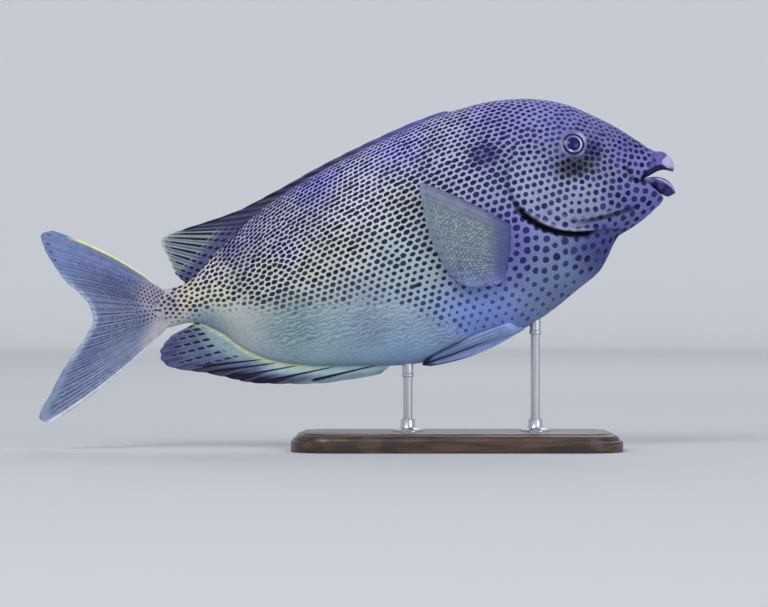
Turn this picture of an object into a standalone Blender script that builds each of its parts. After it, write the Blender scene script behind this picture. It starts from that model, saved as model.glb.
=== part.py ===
"""A brown-spotted rabbitfish as a still, life-size museum model, swimming nose-up on a display stand.

The fish is drawn in its own frame, in millimetres: s runs back from the snout along the body's axis,
h is up from that axis, and y is out to the side. An empty then pitches it nose-up over the stand.
"""

import math

import bmesh
import bpy
import numpy as np
from mathutils import Matrix

MM = 0.001

# Driving dimensions of the fish
BODY_LENGTH = 287.0  # snout to the root of the tail fin
PITCH_DEG = 14.0  # nose-up, as it swims
GAP = 0.3  # between touching nodes

# Where the fish's own frame starts, over the middle of the stand's base
SNOUT_X = 117.4
SNOUT_Z = 144.7

# Outline of the flesh from the side, as (s, h)
BACK = [
    (5.5, 12.5), (7, 17), (10, 20.6), (16, 27), (26.5, 37.6), (35.6, 45.2), (45, 52.3), (55, 57.5),
    (70, 62.4), (91, 65.1), (113, 64.4), (136, 60.8), (160, 56.0), (183, 50.6), (207, 43.0),
    (219, 38.4), (232, 31.6), (248.6, 21.9), (260, 13.6), (266, 10.4), (273, 9.3), (287, 10.2),
]
BELLY = [
    (5.5, 2), (7, -6), (9, -9.4), (13.6, -12.6), (22.5, -17.0), (31.6, -20.3), (36.3, -21.8),
    (40, -25.2), (46, -32.6), (51, -37.6), (65, -44.5), (80, -51.6), (96, -57.2), (112, -59.8),
    (134, -61.6), (150, -62.3), (160, -61.9), (168, -60.6), (179, -57.8), (201, -52.7), (220, -47.2),
    (234, -41.0), (241, -36.2), (248, -29.9), (254, -22.5), (260, -16.9), (266, -12.8), (274, -11.1),
    (287, -11.4),
]
HALF_WIDTH = [
    (5.5, 3.5), (7, 5.8), (10, 7.8), (15, 9.9), (22, 12.2), (32, 15.0), (48, 19.0), (65, 22.2),
    (85, 24.3), (105, 25.0), (130, 24.4), (160, 21.8), (190, 17.4), (220, 12.2), (245, 8.0),
    (265, 5.2), (278, 3.9), (287, 2.0),
]
WIDEST_AT = [
    (5.5, 7), (20, 7), (48, 12), (80, 9), (110, 5), (150, 2), (200, -1), (240, -3), (287, -0.6),
]
RIDGE_POWER = [(5.5, 1.0), (45, 1.0), (90, 1.12), (220, 1.12), (287, 1.0)]

# The gill cover's free edge, from the nape round to the throat, as (s, h)
GILL_EDGE = [
    (82, 74), (77, 58), (76.5, 46), (80, 37.5), (85.5, 29), (88, 18), (86, 7), (77, -5), (64, -13),
    (50, -16), (40, -17.3), (31, -21.3), (25, -28),
]
GILL_STEP = 1.1  # how far the cover stands over the shoulder behind it
GILL_COVER_REACH = 9.0
SHOULDER_SINK = 1.2
SHOULDER_REACH = 5.0

# Cheek plate's lower edge, a shallow crease
CHEEK_CREASE = [(76, 14), (74, 3), (65, -6), (54, -9.3), (38, -9.6), (20, -9.0)]
CREASE_DEPTH = 0.7
CREASE_REACH = 1.6

# Eye
EYE_S, EYE_H = 47.7, 31.5
EYE_RADIUS = 8.2
EYE_DEPTH = 5.0  # half its thickness, along its own axis
EYE_SUNK = 2.9  # its middle, under the skin
ORBIT_RIM = 0.7
ORBIT_RADIUS = 9.2
ORBIT_REACH = 1.8

# Nostrils, as (s, h, radius)
NOSTRILS = [(31.5, 32.6, 0.9), (28.4, 30.2, 0.7)]

# Mouth, slightly open: (s, h) of the gap between the jaws, back to its corner
MOUTH_GAP = [
    (16.6, 3.8), (13.5, 1.2), (10.7, -2.9), (8.9, -6.1), (8.2, -9.6), (-8, -12), (-8, 7.5), (5, 7.9),
    (10.8, 7.4),
]
UPPER_LIP = {"front": (3.0, 10.0), "corner": (18.0, 5.4), "half_gape": 6.8, "thick": (4.3, 5.3), "end": 1.6}
LOWER_LIP = {"front": (3.6, -4.6), "corner": (16.2, 3.2), "half_gape": 6.2, "thick": (2.7, 3.0), "end": 1.5}
MOUTH_LINING = {"at": (15.0, 2.0), "radii": (6.0, 6.6, 5.2)}

# Where the tail stem is parted from the torso, and the rings of the flesh behind the head
TAIL_CUT = 246.0
TRUNK_STATIONS = np.concatenate([np.arange(27, 100, 3.4), np.arange(103, TAIL_CUT - 3, 6.0)])
TRUNK_SIDES = 36
TAIL_STATIONS = np.append(np.arange(TAIL_CUT + 4, BODY_LENGTH, 4.1), BODY_LENGTH)
TAIL_SIDES = 24

# Membranes and the rays raised on them, as half thicknesses
MEMBRANE = 0.3
MARGIN = 0.25
RAY_RIDGE = 0.45
RAY_THINS = 0.6  # the share of its height that a ray loses by its tip

# Folded spiny dorsal: spines root along the back and lie almost flat on it
DORSAL_SPINES = 13
DORSAL_SPINE_ROOTS = (99.0, 226.0)
DORSAL_SPINE_TIPS = [
    (0.0, 112, 65.9), (0.1, 128, 64.2), (0.25, 152, 60.0), (0.45, 182, 53.5), (0.65, 212, 45.4),
    (0.8, 234, 40.4), (1.0, 261.5, 38.3),
]
DORSAL_RAYS = 10
DORSAL_RAY_ROOTS = (227.2, 265.5)
DORSAL_RAY_TIPS = [
    (0.0, 262.6, 38.2), (0.08, 270, 37.5), (0.16, 274.8, 35.8), (0.25, 275.4, 32.6), (0.4, 274.7, 28.2),
    (0.6, 273.2, 22.4), (0.8, 272.2, 16.8), (1.0, 268.8, 10.9),
]

# Folded anal fin
ANAL_SPINES = 7
ANAL_SPINE_ROOTS = (168.0, 224.0)
ANAL_SPINE_TIPS = [
    (0.0, 179, -63.0), (0.2, 206, -60.6), (0.45, 229, -55.6), (0.7, 247, -50.4), (1.0, 259, -44.6),
]
ANAL_RAYS = 9
ANAL_RAY_ROOTS = (225.2, 264.5)
ANAL_RAY_TIPS = [
    (0.0, 260.0, -44.1), (0.12, 270, -39.2), (0.25, 279, -35.7), (0.37, 287, -31.8), (0.48, 290.7, -27.0),
    (0.6, 290.2, -22.6), (0.72, 286.5, -18.5), (0.86, 281, -15.2), (1.0, 273, -13.6),
]
ROOT_SINK = 3.0  # how far a midline fin's root runs into the flesh before it is cut

# Tail fin
CAUDAL_RAYS = 17
CAUDAL_UPPER_RAYS = 9
CAUDAL_ROOT = [(0.0, 280, 8.5), (0.5, 283.5, -0.5), (1.0, 281, -9.6)]
CAUDAL_TIPS = [
    (0.0, 332, 54.7), (0.05, 337.6, 53.2), (0.14, 336.8, 45.5), (0.25, 334, 36), (0.35, 330, 26),
    (0.43, 325, 19.2), (0.5, 320.6, 8.5), (0.56, 321, 2.4), (0.63, 326, -4.0), (0.71, 335, -12.2),
    (0.8, 344, -20.4), (0.88, 352, -29.6), (0.95, 361.6, -41), (1.0, 356.5, -45.7),
]
CAUDAL_BULGE = [(0.0, 3.4), (0.5, 0.0), (1.0, -2.6)]
CAUDAL_ROOT_HALF = 2.2

# Pectoral fins, swept back along the flank
PECTORAL_RAYS = 16
PECTORAL_ROOT = [(0.0, 91.5, -3.6), (0.4, 94.5, -14), (1.0, 102.4, -29.5)]
PECTORAL_TIPS = [
    (0.0, 133.2, 31.0), (0.05, 134.4, 29.5), (0.2, 135.2, 20), (0.4, 135.7, 8), (0.6, 134.2, -6),
    (0.75, 131.5, -17), (0.86, 127, -25), (0.94, 120, -29.4), (1.0, 111, -30.8),
]
PECTORAL_BULGE = [(0.0, 1.5), (0.5, 0.0), (1.0, -1.0)]
PECTORAL_LIFT = 6.0
PECTORAL_ROOT_HALF = 1.2

# Pelvic fins, folded along the belly: a spine, three rays and a spine
PELVIC_RAYS = 5
PELVIC_ROOT = [(0.0, 102.5, -52.6), (1.0, 97.5, -57.6)]
PELVIC_TIPS = [(0.0, 152.5, -60.8), (0.5, 155.6, -63.2), (1.0, 151.5, -65.0)]
PELVIC_BULGE = [(0.0, 1.7), (1.0, -3.3)]
PELVIC_NEAREST = 1.3  # to the midline
PELVIC_LIFT = 0.8

# Display stand
BASE_SIZE = (176.0, 88.0, 10.0)
BASE_CORNER = 22.0
BASE_BEVEL = 1.6
ROD_RADIUS = 2.5
ROD_SIDES = 20
RODS = {"stand_rod_front": (42.5, 74.0), "stand_rod_rear": (-25.8, 50.0)}  # place along the base, and reach

FLESH = (0.52, 0.53, 0.66, 1)
FIN = (0.36, 0.36, 0.52, 1)
EYE = (0.05, 0.04, 0.09, 1)
WOOD = (0.05, 0.035, 0.03, 1)
STEEL = (0.6, 0.6, 0.62, 1)


def smooth(points):
    """A monotone cubic through (x, y) points, as a function of arrays."""
    x, y = np.array(points, float).T
    width, rise = np.diff(x), np.diff(y)
    slope = rise / width
    tangent = np.concatenate([slope[:1], np.zeros(len(x) - 2), slope[-1:]])
    for i in range(1, len(x) - 1):
        if slope[i - 1] * slope[i] > 0:
            before, after = 2 * width[i] + width[i - 1], width[i] + 2 * width[i - 1]
            tangent[i] = (before + after) / (before / slope[i - 1] + after / slope[i])

    def at(value):
        value = np.clip(value, x[0], x[-1])
        i = np.clip(np.searchsorted(x, value) - 1, 0, len(x) - 2)
        t = (value - x[i]) / width[i]
        return (
            y[i] * (1 + 2 * t) * (1 - t) ** 2
            + tangent[i] * width[i] * t * (1 - t) ** 2
            + y[i + 1] * t * t * (3 - 2 * t)
            + tangent[i + 1] * width[i] * t * t * (t - 1)
        )

    return at


def smooth_pair(points):
    """Two smooth functions of the first column, for points of (u, s, h)."""
    return smooth([(u, s) for u, s, _ in points]), smooth([(u, h) for u, _, h in points])


def rounded_path(points, steps):
    """A Catmull-Rom curve through points, as an array with the given steps to each span."""
    p = np.array(points, float)
    p = np.vstack([2 * p[0] - p[1], p, 2 * p[-1] - p[-2]])
    found = []
    for i in range(1, len(p) - 2):
        for t in np.arange(steps) / steps:
            a, b, c, d = p[i - 1 : i + 3]
            found.append(
                0.5 * (2 * b + (c - a) * t + (2 * a - 5 * b + 4 * c - d) * t**2 + (3 * b - a - 3 * c + d) * t**3)
            )
    return np.vstack([*found, p[-2]])


back, belly, half_width = smooth(BACK), smooth(BELLY), smooth(HALF_WIDTH)
widest_at, ridge_power = smooth(WIDEST_AT), smooth(RIDGE_POWER)
gill_path = rounded_path(GILL_EDGE, 4)
crease_path = rounded_path(CHEEK_CREASE, 4)


def flank(s, h):
    """Half the body's width at (s, h)."""
    middle = widest_at(s)
    share = np.where(h > middle, (h - middle) / (back(s) - middle), (middle - h) / (middle - belly(s)))
    power = np.where(h > middle, ridge_power(s), 1.0)
    return half_width(s) * np.clip(1 - share**2, 0, 1) ** (power / 2)


def distance_to(path, s, h):
    """Distance from each (s, h) to a path, and its side: above 0 in front of it."""
    point = np.stack([s, h], -1)[..., None, :]
    start, run = path[:-1], np.diff(path, axis=0)
    t = np.clip(((point - start) * run).sum(-1) / (run**2).sum(-1), 0, 1)
    away = point - (start + t[..., None] * run)
    far = np.hypot(away[..., 0], away[..., 1])
    near = far.argmin(-1)[..., None]
    cross = run[:, 0] * away[..., 1] - run[:, 1] * away[..., 0]
    side = -np.sign(np.take_along_axis(cross, near, -1)[..., 0])
    return np.take_along_axis(far, near, -1)[..., 0], side


def fade(value, start, end):
    """0 before start, 1 past end, smooth between."""
    t = np.clip((value - start) / (end - start), 0, 1)
    return t * t * (3 - 2 * t)


def relief(s, h, part):
    """How far the skin stands out or in at (s, h), for the head or for the torso."""
    away, _ = distance_to(gill_path, s, h)
    along = fade(-h, -44, -34) * fade(s, 30, 42)
    if part == "torso":
        return -SHOULDER_SINK * along * np.exp(-((away / SHOULDER_REACH) ** 2))
    stands = GILL_STEP * along * np.exp(-((away / GILL_COVER_REACH) ** 2))
    crease, _ = distance_to(crease_path, s, h)
    stands -= CREASE_DEPTH * fade(s, 18, 26) * np.exp(-((crease / CREASE_REACH) ** 2))
    from_eye = np.hypot(s - EYE_S, h - EYE_H)
    return stands + ORBIT_RIM * np.exp(-(((from_eye - ORBIT_RADIUS) / ORBIT_REACH) ** 2))


def ring_points(s, sides):
    """(y, h) round the body at one station, evenly spaced along the skin, from the back down its right side."""
    fine = np.linspace(0, 2 * math.pi, 721)
    up = np.cos(fine) > 0
    middle = widest_at(s)
    power = np.where(up, ridge_power(s), 1.0)
    y = -half_width(s) * np.sign(np.sin(fine)) * np.abs(np.sin(fine)) ** power
    h = middle + np.where(up, back(s) - middle, middle - belly(s)) * np.cos(fine)
    along = np.concatenate([[0], np.cumsum(np.hypot(np.diff(y), np.diff(h)))])
    even = np.linspace(0, along[-1], sides, endpoint=False)
    return np.interp(even, along, y), np.interp(even, along, h)


def skin_grid(stations, sides, part=None, grow=0.0):
    """Points of the skin, one row for each station, pushed out by the relief and by grow."""
    rows = [ring_points(s, sides) for s in stations]
    grid = np.array([np.stack([np.full(sides, -s), y, h], -1) for s, (y, h) in zip(stations, rows)])
    along = np.gradient(grid, axis=0)
    round_it = np.roll(grid, -1, 1) - np.roll(grid, 1, 1)
    normal = np.cross(along, round_it)
    normal /= np.linalg.norm(normal, axis=-1, keepdims=True) + 1e-9
    out = np.full(grid.shape[:2], grow)
    if part:
        out = out + relief(-grid[..., 0], grid[..., 2], part) * np.clip(np.abs(normal[..., 1]) * 1.5, 0, 1)
    return grid + normal * out[..., None]


def add_object(name, points, faces, material, parent):
    """A mesh object from points in millimetres."""
    mesh = bpy.data.meshes.new(name)
    mesh.from_pydata([tuple(p) for p in np.asarray(points) * MM], [], faces)
    mesh.update()
    obj = bpy.data.objects.new(name, mesh)
    bpy.context.scene.collection.objects.link(obj)
    obj.parent = parent
    if material:
        mesh.materials.append(material)
    return obj


def loft(name, grid, material, parent, ends=(0.0, 0.0)):
    """A closed solid through a grid of rings. Each end is a fan to its middle, moved out by its value."""
    rows, sides = grid.shape[:2]
    points = grid.reshape(-1, 3)
    faces = []
    for i in range(rows - 1):
        for j in range(sides):
            k = (j + 1) % sides
            faces.append((i * sides + j, (i + 1) * sides + j, (i + 1) * sides + k, i * sides + k))
    caps = [grid[0].mean(0) + (ends[0], 0, 0), grid[-1].mean(0) - (ends[1], 0, 0)]
    points = np.vstack([points, caps])
    first, last = len(points) - 2, len(points) - 1
    base = (rows - 1) * sides
    for j in range(sides):
        k = (j + 1) % sides
        faces.append((first, j, k))
        faces.append((last, base + k, base + j))
    obj = add_object(name, points, faces, material, parent)
    face_out(obj)
    return obj


def face_out(obj):
    """Turns the faces out and splits them into triangles."""
    bm = bmesh.new()
    bm.from_mesh(obj.data)
    bmesh.ops.recalc_face_normals(bm, faces=bm.faces)
    if bm.calc_volume(signed=True) < 0:
        bmesh.ops.reverse_faces(bm, faces=bm.faces)
    bm.to_mesh(obj.data)
    bm.free()


def prism(name, outline, reach, parent):
    """A closed slab across the body, from an outline of (s, h)."""
    count = len(outline)
    points = [(-s, y, h) for y in (-reach, reach) for s, h in outline]
    faces = [tuple(range(count)), tuple(range(count, 2 * count))]
    faces += [(i, (i + 1) % count, (i + 1) % count + count, i + count) for i in range(count)]
    obj = add_object(name, points, faces, None, parent)
    face_out(obj)
    return as_cutter(obj)


def ball(name, centre, radii, segments, rings, parent, turn=None):
    """An ellipsoid with its poles along its own z."""
    bm = bmesh.new()
    bmesh.ops.create_uvsphere(bm, u_segments=segments, v_segments=rings, radius=1)
    matrix = Matrix.Translation(centre) @ (turn or Matrix.Identity(4)) @ Matrix.Diagonal((*radii, 1))
    bmesh.ops.transform(bm, matrix=Matrix.Scale(MM, 4) @ matrix, verts=bm.verts)
    mesh = bpy.data.meshes.new(name)
    bm.to_mesh(mesh)
    bm.free()
    obj = bpy.data.objects.new(name, mesh)
    bpy.context.scene.collection.objects.link(obj)
    obj.parent = parent
    return obj


def as_cutter(obj):
    obj.hide_render = True
    obj.display_type = "WIRE"
    return obj


def boolean(obj, operation, cutter, solver="EXACT"):
    """One Boolean with an object or a collection, applied."""
    bpy.context.view_layer.update()
    modifier = obj.modifiers.new("cut", "BOOLEAN")
    modifier.operation = operation
    modifier.solver = solver
    if isinstance(cutter, bpy.types.Collection):
        modifier.operand_type = "COLLECTION"
        modifier.collection = cutter
    else:
        modifier.object = cutter
    graph = bpy.context.evaluated_depsgraph_get()
    mesh = bpy.data.meshes.new_from_object(obj.evaluated_get(graph))
    obj.modifiers.clear()
    obj.data = mesh


def union_with(obj, pieces):
    """Fuses the pieces into obj and removes them."""
    group = bpy.data.collections.new(obj.name + "_pieces")
    bpy.context.scene.collection.children.link(group)
    for piece in pieces:
        bpy.context.scene.collection.objects.unlink(piece)
        group.objects.link(piece)
    boolean(obj, "UNION", group, "MANIFOLD")
    for piece in pieces:
        bpy.data.objects.remove(piece)
    bpy.data.collections.remove(group)


def keep_largest(obj):
    """Drops every closed surface but the one with the most faces' area."""
    bm = bmesh.new()
    bm.from_mesh(obj.data)
    left, islands = set(bm.faces), []
    while left:
        island, edge = set(), [left.pop()]
        while edge:
            face = edge.pop()
            island.add(face)
            for loop in face.loops:
                for other in loop.edge.link_faces:
                    if other in left:
                        left.discard(other)
                        edge.append(other)
        islands.append(island)
    islands.sort(key=lambda faces: sum(f.calc_area() for f in faces))
    for island in islands[:-1]:
        bmesh.ops.delete(bm, geom=list(island), context="FACES")
    bm.to_mesh(obj.data)
    bm.free()


def shade(obj, angle_deg=35):
    obj.data.shade_smooth()
    obj.data.set_sharp_from_angle(angle=math.radians(angle_deg))


def make_material(name, colour, roughness, metallic=0.0):
    material = bpy.data.materials.new(name)
    material.use_nodes = True
    shader = material.node_tree.nodes["Principled BSDF"]
    shader.inputs["Base Color"].default_value = colour
    shader.inputs["Roughness"].default_value = roughness
    shader.inputs["Metallic"].default_value = metallic
    return material


def lip(name, shape, parent):
    """A lip as a tube round the front of the jaw, both ends sunk in the cheeks."""
    sides = 10
    (s0, h0), (s1, h1) = shape["front"], shape["corner"]
    half = shape["half_gape"]
    turn = np.linspace(-math.pi / 2, math.pi / 2, 13)
    leg = np.linspace(s0 + half, s1, 5)[1:]
    s = np.concatenate([leg[::-1], s0 + half * (1 - np.cos(turn)), leg])
    y = np.concatenate([np.full(4, -half), half * np.sin(turn), np.full(4, half)])
    share = (s - s0) / (s1 - s0)
    path = np.stack([-s, y, h0 + (h1 - h0) * share**1.6], -1)
    along = np.gradient(path, axis=0)
    along /= np.linalg.norm(along, axis=1, keepdims=True)
    up = np.array([0.0, 0.0, 1.0]) - along * along[:, 2:]
    up /= np.linalg.norm(up, axis=1, keepdims=True)
    out = np.cross(along, up)
    deep, tall = (shape["end"] + (thick - shape["end"]) * (1 - share) ** 1.4 for thick in shape["thick"])
    angle = np.linspace(0, 2 * math.pi, sides, endpoint=False)
    grid = (
        path[:, None]
        + out[:, None] * (deep[:, None] * np.cos(angle))[..., None]
        + up[:, None] * (tall[:, None] * np.sin(angle))[..., None]
    )
    return loft(name, grid, None, parent)


def skin_frame(s, h, side):
    """The point on the skin at (s, h), and the way out of it."""
    step = 2.0
    y = float(flank(s, h))
    along = float(flank(s + step, h) - flank(s - step, h)) / (2 * step)
    up = float(flank(s, h + step) - flank(s, h - step)) / (2 * step)
    out = np.array([along, 1.0, -up])
    out /= np.linalg.norm(out)
    flip = np.array([1, side, 1])
    return np.array([-s, y, h]) * flip, out * flip


def turn_to(out):
    """The rotation that takes z to the way out."""
    from_z = Matrix.Identity(3)
    z = np.array(out)
    x = np.cross([0.0, 0.0, 1.0], z)
    x /= np.linalg.norm(x)
    y = np.cross(z, x)
    from_z[0] = (x[0], y[0], z[0])
    from_z[1] = (x[1], y[1], z[1])
    from_z[2] = (x[2], y[2], z[2])
    return from_z.to_4x4()


def eye_ball(name, side, extra, parent):
    at, out = skin_frame(EYE_S, EYE_H, side)
    radii = (EYE_RADIUS + extra, EYE_RADIUS + extra, EYE_DEPTH + extra)
    return ball(name, at - out * EYE_SUNK, radii, 20, 12, parent, turn_to(out))


def ray_columns(rays):
    """(u, 1 on a ray's crest or 0 in the membrane between) for each column of a fin."""
    return [(i / (2 * rays), float(i % 2)) for i in range(2 * rays + 1)]


def fin_sheet(name, root, tip, rays, rows, place, half_at, material, parent, bulge=None):
    """A fin as a closed sheet with each ray a ridge on both faces: root and tip are functions of u, place lays
    (s, h, v) out in space, and half_at gives the membrane's half thickness at v. Both faces are split into
    triangles alike."""
    columns = ray_columns(rays)
    grid = np.zeros((len(columns), len(rows), 3))
    half = np.zeros((len(columns), len(rows)))
    for i, (u, crest) in enumerate(columns):
        start = np.array([float(root[0](u)), float(root[1](u))])
        end = np.array([float(tip[0](u)), float(tip[1](u))])
        run = end - start
        across = np.array([-run[1], run[0]]) / np.hypot(*run)
        bow = float(bulge(u)) if bulge else 0.0
        for j, v in enumerate(rows):
            s, h = start + run * v + across * bow * 4 * v * (1 - v)
            grid[i, j] = place(s, h, v)
            half[i, j] = half_at(v) + crest * RAY_RIDGE * (1 - RAY_THINS * v)
    along = np.gradient(grid, axis=1)
    across = np.gradient(grid, axis=0)
    normal = np.cross(along, across)
    normal /= np.linalg.norm(normal, axis=-1, keepdims=True) + 1e-9
    points = np.concatenate([grid + normal * half[..., None], grid - normal * half[..., None]]).reshape(-1, 3)
    wide, long = len(columns), len(rows)
    other = wide * long
    faces = []
    for i in range(wide - 1):
        for j in range(long - 1):
            a, b, c, d = i * long + j, i * long + j + 1, (i + 1) * long + j + 1, (i + 1) * long + j
            faces += [(a, b, c), (a, c, d), (a + other, c + other, b + other), (a + other, d + other, c + other)]
    edge = [i * long for i in range(wide)]
    edge += [(wide - 1) * long + j for j in range(1, long)]
    edge += [i * long + long - 1 for i in range(wide - 2, -1, -1)]
    edge += [j for j in range(long - 2, 0, -1)]
    for a, b in zip(edge, edge[1:] + edge[:1]):
        faces += [(a, b, b + other), (a, b + other, a + other)]
    obj = add_object(name, points, faces, material, parent)
    face_out(obj)
    return obj


def midline_root(ends, outline, sink):
    """Root of a fin that grows along the back or the belly, as functions of u."""
    start, stop = ends
    return (
        lambda u: start + (stop - start) * u,
        lambda u: outline(start + (stop - start) * u) + sink,
    )


def on_midline(s, h, v):
    return (-s, 0.0, h)


def sheet_half(root_half, thin_by=0.2):
    """Half thickness that falls from root_half to the membrane's, and to the margin's at the edge."""

    def half_at(v):
        flesh = (root_half - MEMBRANE) * max(0.0, 1 - v / thin_by) ** 2
        return flesh + MEMBRANE + (MARGIN - MEMBRANE) * v**3

    return half_at


def finish_fin(obj, grown):
    """Cuts a fin's root to the skin, a gap clear of it."""
    boolean(obj, "DIFFERENCE", grown, "MANIFOLD")
    keep_largest(obj)
    shade(obj, 60)


def make_midline_fins(material, parent, grown):
    rows = [0, 0.15, 0.3, 0.45, 0.6, 0.8, 1]
    fins = [
        ("dorsal_fin_spines", DORSAL_SPINE_ROOTS, back, -ROOT_SINK, DORSAL_SPINE_TIPS, DORSAL_SPINES, 1.5),
        ("dorsal_fin_rays", DORSAL_RAY_ROOTS, back, -ROOT_SINK, DORSAL_RAY_TIPS, DORSAL_RAYS, 1.1),
        ("anal_fin_spines", ANAL_SPINE_ROOTS, belly, ROOT_SINK, ANAL_SPINE_TIPS, ANAL_SPINES, 1.4),
        ("anal_fin_rays", ANAL_RAY_ROOTS, belly, ROOT_SINK, ANAL_RAY_TIPS, ANAL_RAYS, 1.1),
    ]
    for name, ends, outline, sink, tips, rays, root_half in fins:
        root = midline_root(ends, outline, sink)
        half_at = sheet_half(root_half, 0.5)
        fin = fin_sheet(name, root, smooth_pair(tips), rays, rows, on_midline, half_at, material, parent)
        finish_fin(fin, grown)


def make_caudal(material, parent, grown):
    """The tail fin in its two lobes, parted in the membrane below its middle ray."""
    rows = [0, 0.08, 0.18, 0.32, 0.5, 0.72, 1]
    half_at = sheet_half(CAUDAL_ROOT_HALF, 0.35)
    root, tip = smooth_pair(CAUDAL_ROOT), smooth_pair(CAUDAL_TIPS)
    parting = CAUDAL_UPPER_RAYS / CAUDAL_RAYS
    start = np.array([root[0](parting), root[1](parting)], float)
    run = np.array([tip[0](parting), tip[1](parting)], float) - start
    up = np.array([-run[1], run[0]]) / np.hypot(*run)
    for name, other_side in (("caudal_fin_upper", -1), ("caudal_fin_lower", 1)):
        fin = fin_sheet(
            name, root, tip, CAUDAL_RAYS, rows, on_midline, half_at, material, parent, smooth(CAUDAL_BULGE),
        )
        edge = [start - run - up * other_side * GAP / 2, start + 2 * run - up * other_side * GAP / 2]
        outline = [*edge, edge[1] + up * other_side * 90, edge[0] + up * other_side * 90]
        other_lobe = prism("other_lobe", [tuple(p) for p in outline], 10, parent)
        boolean(fin, "DIFFERENCE", other_lobe)
        bpy.data.objects.remove(other_lobe)
        finish_fin(fin, grown)


def make_pectorals(material, parent, grown):
    rows = [0, 0.06, 0.14, 0.3, 0.5, 0.74, 1]
    half_at = sheet_half(PECTORAL_ROOT_HALF, 0.3)
    for name, side in (("pectoral_fin_right", -1), ("pectoral_fin_left", 1)):

        def place(s, h, v, side=side):
            clear = -2.5 * (1 - fade(v, 0.0, 0.06)) + 2.0 * fade(v, 0.0, 0.14) + PECTORAL_LIFT * v**1.2
            return (-s, side * (float(flank(s, h)) + clear), h)

        fin = fin_sheet(
            name, smooth_pair(PECTORAL_ROOT), smooth_pair(PECTORAL_TIPS), PECTORAL_RAYS, rows, place,
            half_at, material, parent, smooth(PECTORAL_BULGE),
        )
        finish_fin(fin, grown)


def make_pelvics(material, parent, grown):
    rows = [0, 0.1, 0.2, 0.38, 0.58, 0.78, 1]
    half_at = sheet_half(1.2, 0.3)
    for name, side in (("pelvic_fin_right", -1), ("pelvic_fin_left", 1)):

        def place(s, h, v, side=side):
            clear = -2.5 * (1 - fade(v, 0.0, 0.1)) + 1.1 * fade(v, 0.0, 0.15) + PELVIC_LIFT * v
            body = float(flank(s, h)) + clear
            return (-s, side * math.hypot(max(body, 0.0), PELVIC_NEAREST), h)

        fin = fin_sheet(
            name, smooth_pair(PELVIC_ROOT), smooth_pair(PELVIC_TIPS), PELVIC_RAYS, rows, place,
            half_at, material, parent, smooth(PELVIC_BULGE),
        )
        finish_fin(fin, grown)


def head_outline(shift):
    """The side outline that parts the head from the torso, its gill edge moved back by shift."""
    run = np.gradient(gill_path, axis=0)
    back_way = np.stack([-run[:, 1], run[:, 0]], -1)
    back_way /= np.linalg.norm(back_way, axis=1, keepdims=True)
    edge = gill_path + back_way * shift
    return [(-30, 90), (82, 90), *[tuple(p) for p in edge], (-30, -60)]


def make_head(material, parent):
    front = np.concatenate([[5.5, 6.2, 7.2], np.arange(8.6, 34, 2.4)])
    stations = np.concatenate([front, np.arange(35.5, 112, 3.1)])
    head = loft("head", skin_grid(stations, 42, "head"), material, parent, (0.8, 0.0))
    region = prism("head_region", head_outline(0.0), 60, parent)
    boolean(head, "INTERSECT", region)
    gap = prism("mouth_gap", MOUTH_GAP, 30, parent)
    boolean(head, "DIFFERENCE", gap)
    (s, h), radii = MOUTH_LINING["at"], MOUTH_LINING["radii"]
    lining = ball("mouth_lining", (-s, 0, h), radii, 14, 8, parent)
    union_with(head, [lip("upper_lip", UPPER_LIP, parent), lip("lower_lip", LOWER_LIP, parent), lining])
    for side in (-1, 1):
        socket = as_cutter(eye_ball("socket", side, GAP, parent))
        boolean(head, "DIFFERENCE", socket)
        bpy.data.objects.remove(socket)
        for s, h, radius in NOSTRILS:
            at, _ = skin_frame(s, h, side)
            pit = as_cutter(ball("nostril", at, (radius, radius * 1.3, radius), 8, 6, parent))
            boolean(head, "DIFFERENCE", pit)
            bpy.data.objects.remove(pit)
    for cutter in (region, gap):
        bpy.data.objects.remove(cutter)
    keep_largest(head)
    shade(head)


def make_eyes(material, parent):
    for name, side in (("eye_right", -1), ("eye_left", 1)):
        eye = eye_ball(name, side, 0.0, parent)
        eye.data.materials.append(material)
        shade(eye)


def make_trunk(material, parent):
    stations = np.append(TRUNK_STATIONS, TAIL_CUT - GAP / 2)
    torso = loft("torso", skin_grid(stations, TRUNK_SIDES, "torso"), material, parent)
    region = prism("head_room", head_outline(GAP), 60, parent)
    boolean(torso, "DIFFERENCE", region)
    bpy.data.objects.remove(region)
    keep_largest(torso)
    shade(torso)
    stations = np.append(TAIL_CUT + GAP / 2, TAIL_STATIONS)
    shade(loft("tail_stem", skin_grid(stations, TAIL_SIDES), material, parent))


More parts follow.
